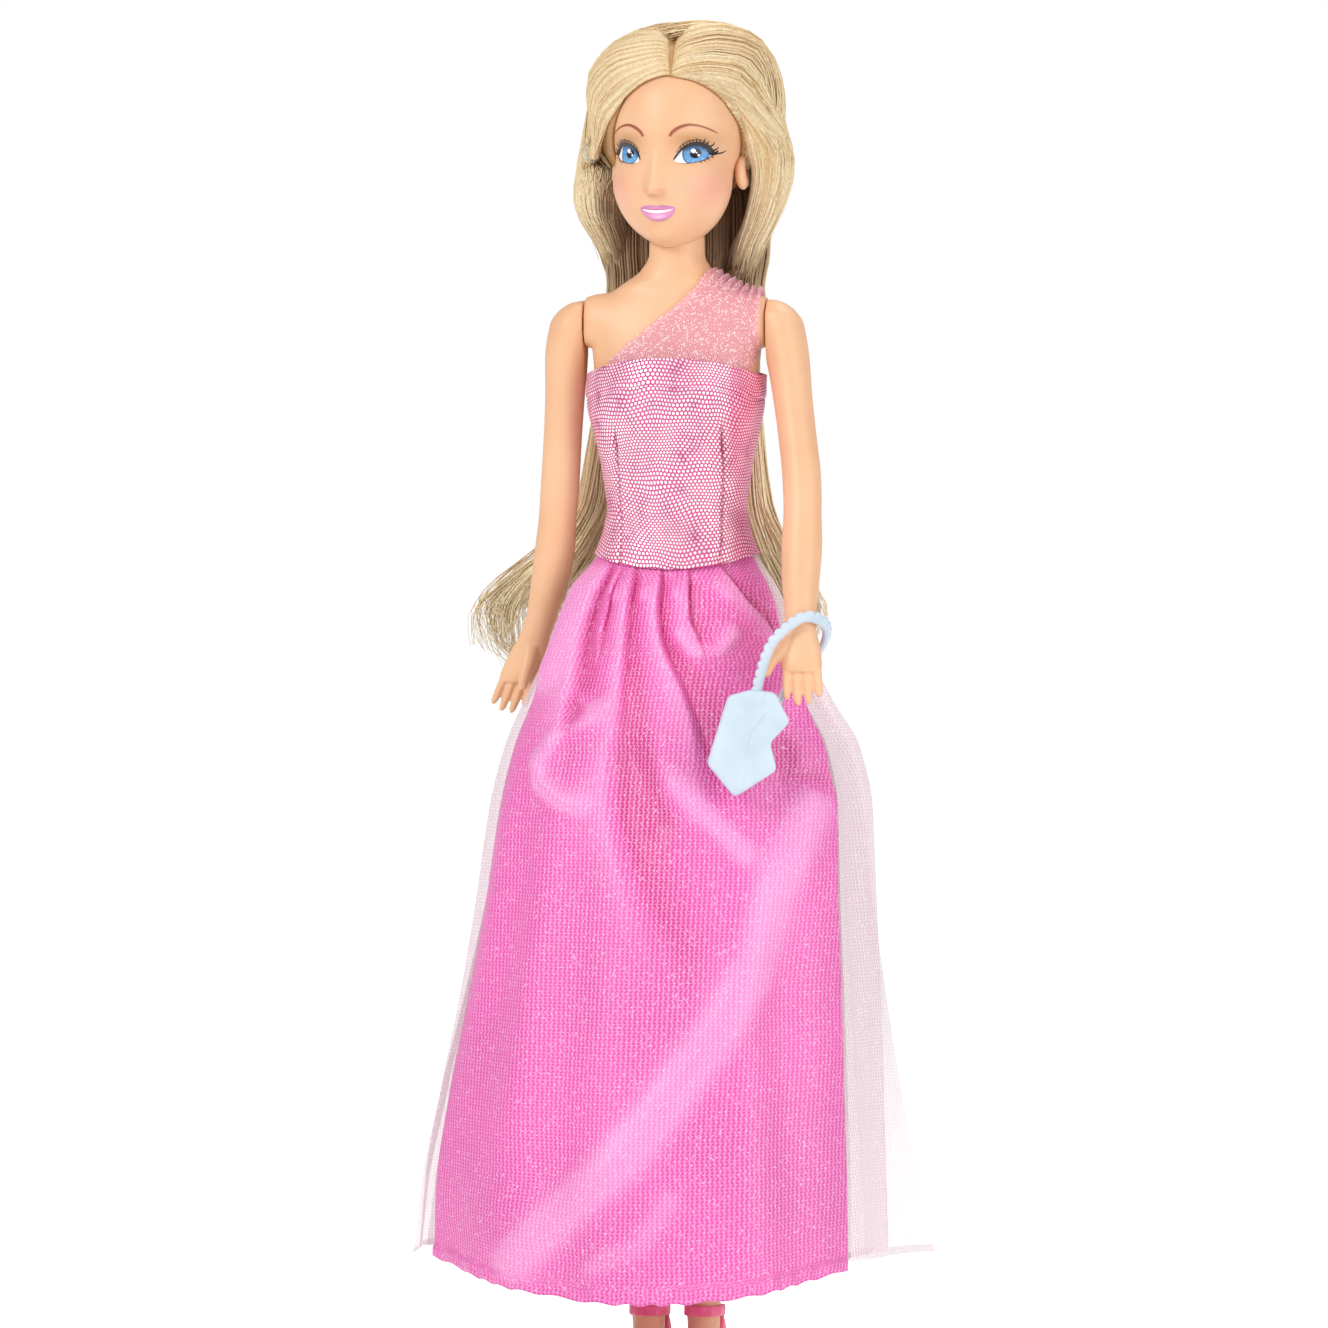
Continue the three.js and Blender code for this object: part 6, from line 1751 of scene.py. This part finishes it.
# Where the hair is rooted: turn from the front and angle from the top, in degrees.
LEFT_ROOTS = ((101, 100), (90, 77), (75, 62), (62, 51), (45, 43), (30, 39.5), (12.2, 37.5),
              (10.8, 30), (10.6, 18), (30, 5), (172, 12), (178, 28), (180, 48))
RIGHT_ROOTS = ((11.4, 37), (10.3, 30), (10, 24), (8, 16), (-20, 5), (-172, 12), (-178, 28),
               (-180, 48))


def root_directions(table, share):
    """Directions at shares along a line of roots."""
    directions = crown_direction(*np.array(table, float).T)
    line = unit(catmull(directions[None], 400)[0])
    place = share * 399
    low = np.clip(place.astype(int), 0, 398)
    return unit(mix(line[low], line[low + 1], (place - low)[:, None]))


def side_strands(side, seed):
    """Strands from the roots over the crown into the side lock and down it. Each takes the
    great circle from its root to the lock's top, and keeps its place round the lock below.
    Along the hairline they are rooted in plugs, at shares rounded to a pitch."""
    random = np.random.default_rng(seed)
    count = doll_settings("hair").strands
    share = np.sort(random.uniform(0 if side > 0 else 0.1, 1, count))
    clump = 0.5 + 0.5 * np.sin(share * 90 + 2 * np.sin(share * 37))
    plug = (np.floor(share * 64) + 0.5) / 64
    line = LEFT_ROOTS if side > 0 else RIGHT_ROOTS
    roots = root_directions(line, np.where(share < 0.5, plug, share))
    spread = root_directions(line, share)
    low_turn, high_turn = (-140, 118) if side > 0 else (-70, 118)
    around = np.radians(mix(low_turn, high_turn, share ** 0.9) + random.normal(0, 5, count))
    depth = 0.86 + 0.12 * random.uniform(0, 1, count) ** 1.2
    entry = unit(side_place(side, around, np.full(count, 0.2), depth))
    lift = 0.88 + 0.2 * random.uniform(0, 1, count)
    places = [on_crown(roots, 0.4), *swept(spread, entry, (0.05,), 0.85 * lift),
              *swept(spread, entry, (0.14, 0.34, 0.6), lift)]
    reach = 1 - 0.24 * random.uniform(0, 1, count) ** 1.6
    for down in (0.36, 0.48, 0.6, 0.74, 0.88, 1.0):
        wave = 0.02 * np.sin(7 * down + 5 * clump)
        widen = -1.9 * soft_step(down, 0.5, 0.75) * (1 - share) ** 3 * (side < 0)
        places.append(down_lock(side, around + wave + widen, down, reach, depth))
    path = parted_ends(places, random)
    along = np.linspace(0, 1, STRAND_ROWS)
    # Painted shade: red-brown on the inner side of the lock lower down, and on the right lock's
    # strands rooted near the start of its line, towards their ends.
    inner = soft_step(-np.cos(around), -0.35, 0.6)[:, None] * soft_step(along, 0.45, 0.75)
    if side < 0:
        inner = np.maximum(inner, (1 - share[:, None]) ** 4 * soft_step(along, 0.65, 0.8))
    return strand_tubes(on_head(path), seed, clump, 0.75 * inner)


def back_strands(seed):
    """Strands from the part and the crown down the back of the head. Those at the middle run on
    over the top of the long hair and end there, staggered; the others end at the crown's edge."""
    random = np.random.default_rng(seed)
    count = int(doll_settings("hair").strands * 0.9)
    turn = random.uniform(-1, 1, count)
    start = crown_direction(random.uniform(-180, 180, count), random.uniform(2, 14, count))
    beside = soft_step(np.abs(turn), 0.5, 0.62)
    end = crown_direction(180 + 80 * turn, mix(74.0, 126 - 14 * np.abs(turn), beside))
    clump = 0.5 + 0.5 * np.sin(turn * 70)
    lift = 0.9 + 0.2 * random.uniform(0, 1, count)
    places = [on_head(place) for place in swept(start, end, (0.0, 0.2, 0.4, 0.6, 0.8, 1.0), lift)]
    around = math.pi / 2 + np.radians(80 * turn) * 0.92 + HEAD_YAW
    depth = 0.97 + 0.1 * random.uniform(0, 1, count)
    length = 0.6 + 0.9 * random.uniform(0, 1, count)
    for down in (0.05, 0.1, 0.16):
        below = fall_place(around, down * length, depth)
        stay = places[5] + [0, 0, -down]
        places.append(mix(below, stay, beside[:, None]))
    return strand_tubes(catmull(np.stack(places, 1), STRAND_ROWS), seed, clump, tip=0.1)


def temple_strands(seed):
    """The front lock: strands swept from the part over the right temple into the elastic and on
    behind it, turning a little about the lock's middle."""
    random = np.random.default_rng(seed)
    count = FRONT_LOCK_STRANDS
    share = random.uniform(0, 1, count)
    roots = root_directions(RIGHT_ROOTS[:4], share)
    middle = np.array(TWIST_SHARES) * HEAD_HALF[0]
    angle = random.uniform(0, TAU, count)
    ring = np.sqrt(random.uniform(0.15, 1, count))
    lift = 0.95 + 0.2 * random.uniform(0, 1, count)
    aim = unit(mix(middle[0], np.array([-17.0, -0.5, 7.5]), share[:, None]))
    places = [on_crown(roots, 0.4), *swept(roots, aim, (0.06, 0.25, 0.5, 0.8), lift)]
    for k, radius in ((1, 2.0), (2, 1.4), (3, 1.9)):
        spin = angle + 0.8 * k
        offset = joined(0.5 * np.cos(spin), np.sin(spin) * 0.6, np.sin(spin))
        places.append(middle[k] + offset * (radius * ring)[:, None])
    spread = random.uniform(-2.8, 0.2, count)
    reach = 1 - 0.2 * random.uniform(0, 1, count) ** 1.6
    places += [down_lock(-1, spread, down, reach, 1.02 - 0.1 * ring)
               for down in (0.58, 0.72, 0.86, 1.0)]
    path = parted_ends(places, random)
    clump = 0.5 + 0.5 * np.sin(share * 60)
    along = np.linspace(0, 1, STRAND_ROWS)
    # Painted shade: red-brown on the strands round the inner side of the lock, towards their ends.
    inner = soft_step(-np.cos(spread), -0.2, 0.5)[:, None] * soft_step(along, 0.6, 0.8)
    return strand_tubes(on_head(path), seed, clump, 0.7 * inner)


def fall_place(around, down, depth):
    """A place on the fall of hair: a superellipse whose sizes come from its table."""
    x, y, width, thick = columns_at(FALL_SHARES, down)
    c, s = np.cos(around), np.sin(around)
    power = 2 / 2.4
    return joined(
        FALL_HALF_WIDTH * (x + width * depth * np.sign(c) * np.abs(c) ** power),
        FALL_HALF_DEPTH * (y + thick * depth * np.sign(s) * np.abs(s) ** power),
        FALL_TOP_Z - FALL_LENGTH * down)


def fall_shell():
    """Packed hair inside the fall, tucked under the crown and ending short of its tips, dark as
    painted shade under the strands.
    """
    around, down = np.meshgrid(turns(72), np.linspace(0.0, 0.74, 70))
    depth = 0.5 + 0.32 * soft_step(down, 0.0, 0.12) - 0.4 * soft_step(down, 0.4, 0.74)
    grid = fall_place(around, down, depth)
    return closed(grid, HAIR_SHELL_SHADE)


def fall_strands(seed, inner):
    """Strands down the fall, tucked under the crown at their tops. Each belongs to a clump with
    its own wave and length; the waves grow downward, each clump draws together, and at the tips
    its strands part again like a brush."""
    random = np.random.default_rng(seed)
    count = doll_settings("hair").strands
    clump_turn = np.sort(random.uniform(0, TAU, FALL_CLUMPS))
    which = random.integers(0, FALL_CLUMPS, count)
    apart = random.normal(0, 0.07, count)
    phase = random.uniform(0, TAU, FALL_CLUMPS)[which]
    reach = random.uniform(0.84, 1.02, FALL_CLUMPS)[which] - random.exponential(0.014, count)
    own = random.uniform(0, 1, count)
    depth = 0.45 + 0.4 * own if inner else 0.88 + 0.13 * own
    down = np.linspace(0.0, 1.0, 34) * reach[:, None]
    grow = soft_step(down, 0.25, 1.0)
    tip = soft_step(down / reach[:, None], 0.8, 1.0)
    together = 1 - 0.5 * grow + 0.6 * tip
    turn = clump_turn[which][:, None] + apart[:, None] * together
    turn = turn + 0.04 * grow * np.sin(9 * down + phase[:, None])
    tucked = 0.6 + 0.4 * soft_step(down, 0.0, 0.09)
    squeeze = depth[:, None] * tucked * (1 + 0.04 * np.sin(12 * down + phase[:, None]) * grow)
    path = fall_place(turn, down, squeeze)
    frizz = random.normal(0, 1, (count, 3))
    path = path + frizz[:, None] * tip[..., None] * [0.7, 0.7, 0.9]
    path[..., 0] += 0.8 * grow * np.sin(9 * down + phase[:, None])
    share = 0.5 + 0.5 * np.sin(phase)
    # Painted shade: red-brown on the front of the fall near its top, by the neck.
    under = soft_step(-np.sin(turn), -0.25, 0.35) * (1 - soft_step(down, 0.16, 0.42))
    return strand_tubes(path, seed, share, 0.8 * under, 0.3)


def elastic_patches():
    """A clear band wound round the lock: two torus rings side by side."""
    path = np.array(TWIST_SHARES) * HEAD_HALF[0]
    centre = path[2]
    axis = unit(path[3] - path[1])
    across = unit(np.cross(axis, [0, 0, 1]))
    up = np.cross(across, axis)
    around, section = turns(48)[:, None], turns(12)
    pieces = []
    for shift, tilt in ((-0.42, 0.12), (0.42, -0.10)):
        radius = 1.85 + 0.3 * np.cos(section)
        spread = ((np.cos(around) * radius)[..., None] * across
                  + (np.sin(around) * radius)[..., None] * up)
        along = shift + 0.3 * np.sin(section) + tilt * np.cos(around) * radius
        ring = patch(on_head(centre + spread + along[..., None] * axis), wrap=True)
        first = np.arange(12)
        last = first + 47 * 12
        joint = joined(last, np.roll(last, -1), np.roll(first, -1), first)
        pieces.append(outward({**ring, "quads": np.vstack([ring["quads"], joint])}))
    return pieces


class DOLL_OT_hair(bpy.types.Operator):
    """Make the rooted hair on the head: crown, side locks, front lock and its clear elastic"""
    bl_idname = "doll.hair"
    bl_label = "Hair on the head"

    def execute(self, context):
        finish = hair_finish("head_hair")
        pieces = {
            "hair_crown_strands": ([crown_shell(), back_strands(11)], "hair_crown"),
            "hair_left_strands": ([side_shell(1), side_strands(1, 21)], "hair_side_left"),
            "hair_right_strands": ([side_shell(-1), side_strands(-1, 31)], "hair_side_right"),
            "hair_twist_strands": ([temple_strands(41)], "hair_twist"),
        }
        for name, (patches, node) in pieces.items():
            placed(build_piece(name, patches, finish), "hair", "head", node)
        clear = mottled("clear_elastic", linear(238, 232, 214), linear(250, 248, 240), 700.0,
                        1800.0, 0.4, 0.0002, 2.0, Roughness=0.12, Transmission_Weight=0.75,
                        IOR=1.45)
        placed(build_piece("elastic_band", elastic_patches(), clear), "elastic", "head",
               "hair_elastic")
        return {"FINISHED"}


class DOLL_OT_fall(bpy.types.Operator):
    """Make the long hair that falls down the back to its wavy ends"""
    bl_idname = "doll.fall"
    bl_label = "Long hair"

    def execute(self, context):
        finish = hair_finish("long_hair")
        outer = build_piece("hair_fall_strands", [fall_shell(), fall_strands(51, False)], finish)
        inner = build_piece("hair_fall_inner", [fall_strands(61, True)], finish)
        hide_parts("hair_fall")
        for piece in (outer, inner):
            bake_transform(piece)
        return {"FINISHED"}


# Stage. The view's width in metres at the doll, its middle's height and its shift to the
# camera's left; the sensor's width in millimetres.
VIEW_WIDTH = 0.2814
VIEW_MIDDLE_Z = 0.1568
VIEW_ASIDE = 0.00275
SENSOR_WIDTH = 36


def floor_finish():
    """A pale floor that reads as white to the camera and in reflections, and keeps shadows."""
    finish, tree, shader = new_finish("floor_white", Roughness=0.9, Specular_IOR_Level=0.1)
    shader.inputs["Base Color"].default_value = rgba(linear(246, 246, 246))
    path = add_node(tree, "LightPath")
    seen = math_node(tree, "MAXIMUM", path.outputs["Is Camera Ray"], path.outputs["Is Glossy Ray"])
    seen = math_node(tree, "MAXIMUM", seen, path.outputs["Is Transmission Ray"])
    glow = add_node(tree, "Emission", {"Color": (1, 1, 1, 1), "Strength": 0.66})
    lit = add_node(tree, "AddShader", {0: shader.outputs[0], 1: glow.outputs[0]})
    pick = add_node(tree, "MixShader", {0: seen, 1: shader.outputs[0], 2: lit.outputs[0]})
    tree.links.new(pick.outputs[0], tree.nodes["Material Output"].inputs["Surface"])
    return finish


def set_world():
    """A white world to the camera and in reflections, and soft light on the object."""
    world = bpy.data.worlds.new("studio")
    world.use_nodes = True
    tree = world.node_tree
    path = add_node(tree, "LightPath")
    seen = math_node(tree, "MAXIMUM", path.outputs["Is Camera Ray"],
                     path.outputs["Is Transmission Ray"])
    strength = math_node(tree, "MULTIPLY_ADD", seen, 0.6, 0.4)
    background = tree.nodes["Background"]
    background.inputs["Color"].default_value = (1, 1, 1, 1)
    tree.links.new(strength, background.inputs["Strength"])
    bpy.context.scene.world = world


def add_lamp(name, place, size, power):
    """A square soft lamp that faces the doll."""
    lamp = bpy.data.lights.new(name, "AREA")
    lamp.shape = "SQUARE"
    lamp.size = size
    lamp.energy = power
    made = bpy.data.objects.new(name, lamp)
    made.location = place
    made.rotation_euler = look_angles(np.array([0.0, 0.0, 0.17]) - place)
    bpy.context.scene.collection.objects.link(made)


def look_angles(direction):
    """Turns about X and Z that aim a camera or lamp, which looks along its own -Z."""
    x, y, z = direction
    return (math.pi / 2 + math.atan2(z, math.hypot(x, y)), 0.0, math.atan2(-x, y))


class DOLL_OT_stage(bpy.types.Operator):
    """Set the floor, the lamps, the white world and the camera"""
    bl_idname = "doll.stage"
    bl_label = "Stage"

    def execute(self, context):
        stage = doll_settings("stage")
        scene = context.scene
        x, y = np.meshgrid([-6.0, 6.0], [-6.0, 6.0])
        floor = build_piece("floor", [patch(joined(x, y, 0 * x) / MM)], floor_finish())
        set_world()
        for lamp in (("key", (-0.75, -1.05, 0.95), 0.7, 12.0),
                     ("fill", (1.1, -0.8, 0.45), 0.9, 8.0),
                     ("top", (0.1, 0.35, 1.2), 0.8, 6.0)):
            add_lamp(*lamp)
        a, e = stage.camera_azimuth, stage.camera_elevation
        back = np.array([math.sin(a) * math.cos(e), -math.cos(a) * math.cos(e), math.sin(e)])
        aside = np.array([math.cos(a), math.sin(a), 0])
        aim = AXIS * MM - VIEW_ASIDE * aside + [0, 0, VIEW_MIDDLE_Z]
        lens = bpy.data.cameras.new("camera")
        lens.sensor_width = SENSOR_WIDTH
        lens.lens = SENSOR_WIDTH * stage.camera_distance / VIEW_WIDTH
        camera = bpy.data.objects.new("camera", lens)
        camera.location = aim + back * stage.camera_distance
        camera.rotation_euler = look_angles(-back)
        scene.collection.objects.link(camera)
        scene.camera = camera
        scene.view_settings.view_transform = "Standard"
        return {"FINISHED"}


class DOLL_PT_panel(bpy.types.Panel):
    bl_idname = "DOLL_PT_panel"
    bl_label = "Fashion doll"
    bl_space_type = "VIEW_3D"
    bl_region_type = "UI"
    bl_category = "Doll"

    def draw(self, context):
        layout = self.layout
        for group in SETTINGS:
            settings = doll_settings(group)
            for name in settings.bl_rna.properties.keys():
                if name not in {"rna_type", "name"}:
                    layout.prop(settings, name)
        for operator in OPERATORS:
            layout.operator(operator.bl_idname)


SETTINGS = {"skin": DollSkinSettings, "hair": DollHairSettings, "gown": DollGownSettings,
            "stage": DollStageSettings}
OPERATORS = (DOLL_OT_head, DOLL_OT_body, DOLL_OT_limbs, DOLL_OT_shoes, DOLL_OT_fittings,
             DOLL_OT_bodice, DOLL_OT_drape, DOLL_OT_skirt, DOLL_OT_purse, DOLL_OT_hair,
             DOLL_OT_fall, DOLL_OT_stage)


def register():
    for cls in (*SETTINGS.values(), *OPERATORS, DOLL_PT_panel):
        bpy.utils.register_class(cls)
    for name, cls in SETTINGS.items():
        setattr(bpy.types.Scene, "doll_" + name, PointerProperty(type=cls))


def unregister():
    for name in SETTINGS:
        delattr(bpy.types.Scene, "doll_" + name)
    for cls in (DOLL_PT_panel, *reversed(OPERATORS), *SETTINGS.values()):
        bpy.utils.unregister_class(cls)


def main():
    register()
    for operator in OPERATORS:
        getattr(bpy.ops.doll, operator.bl_idname.split(".")[1])()
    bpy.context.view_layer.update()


if __name__ == "__main__":
    main()
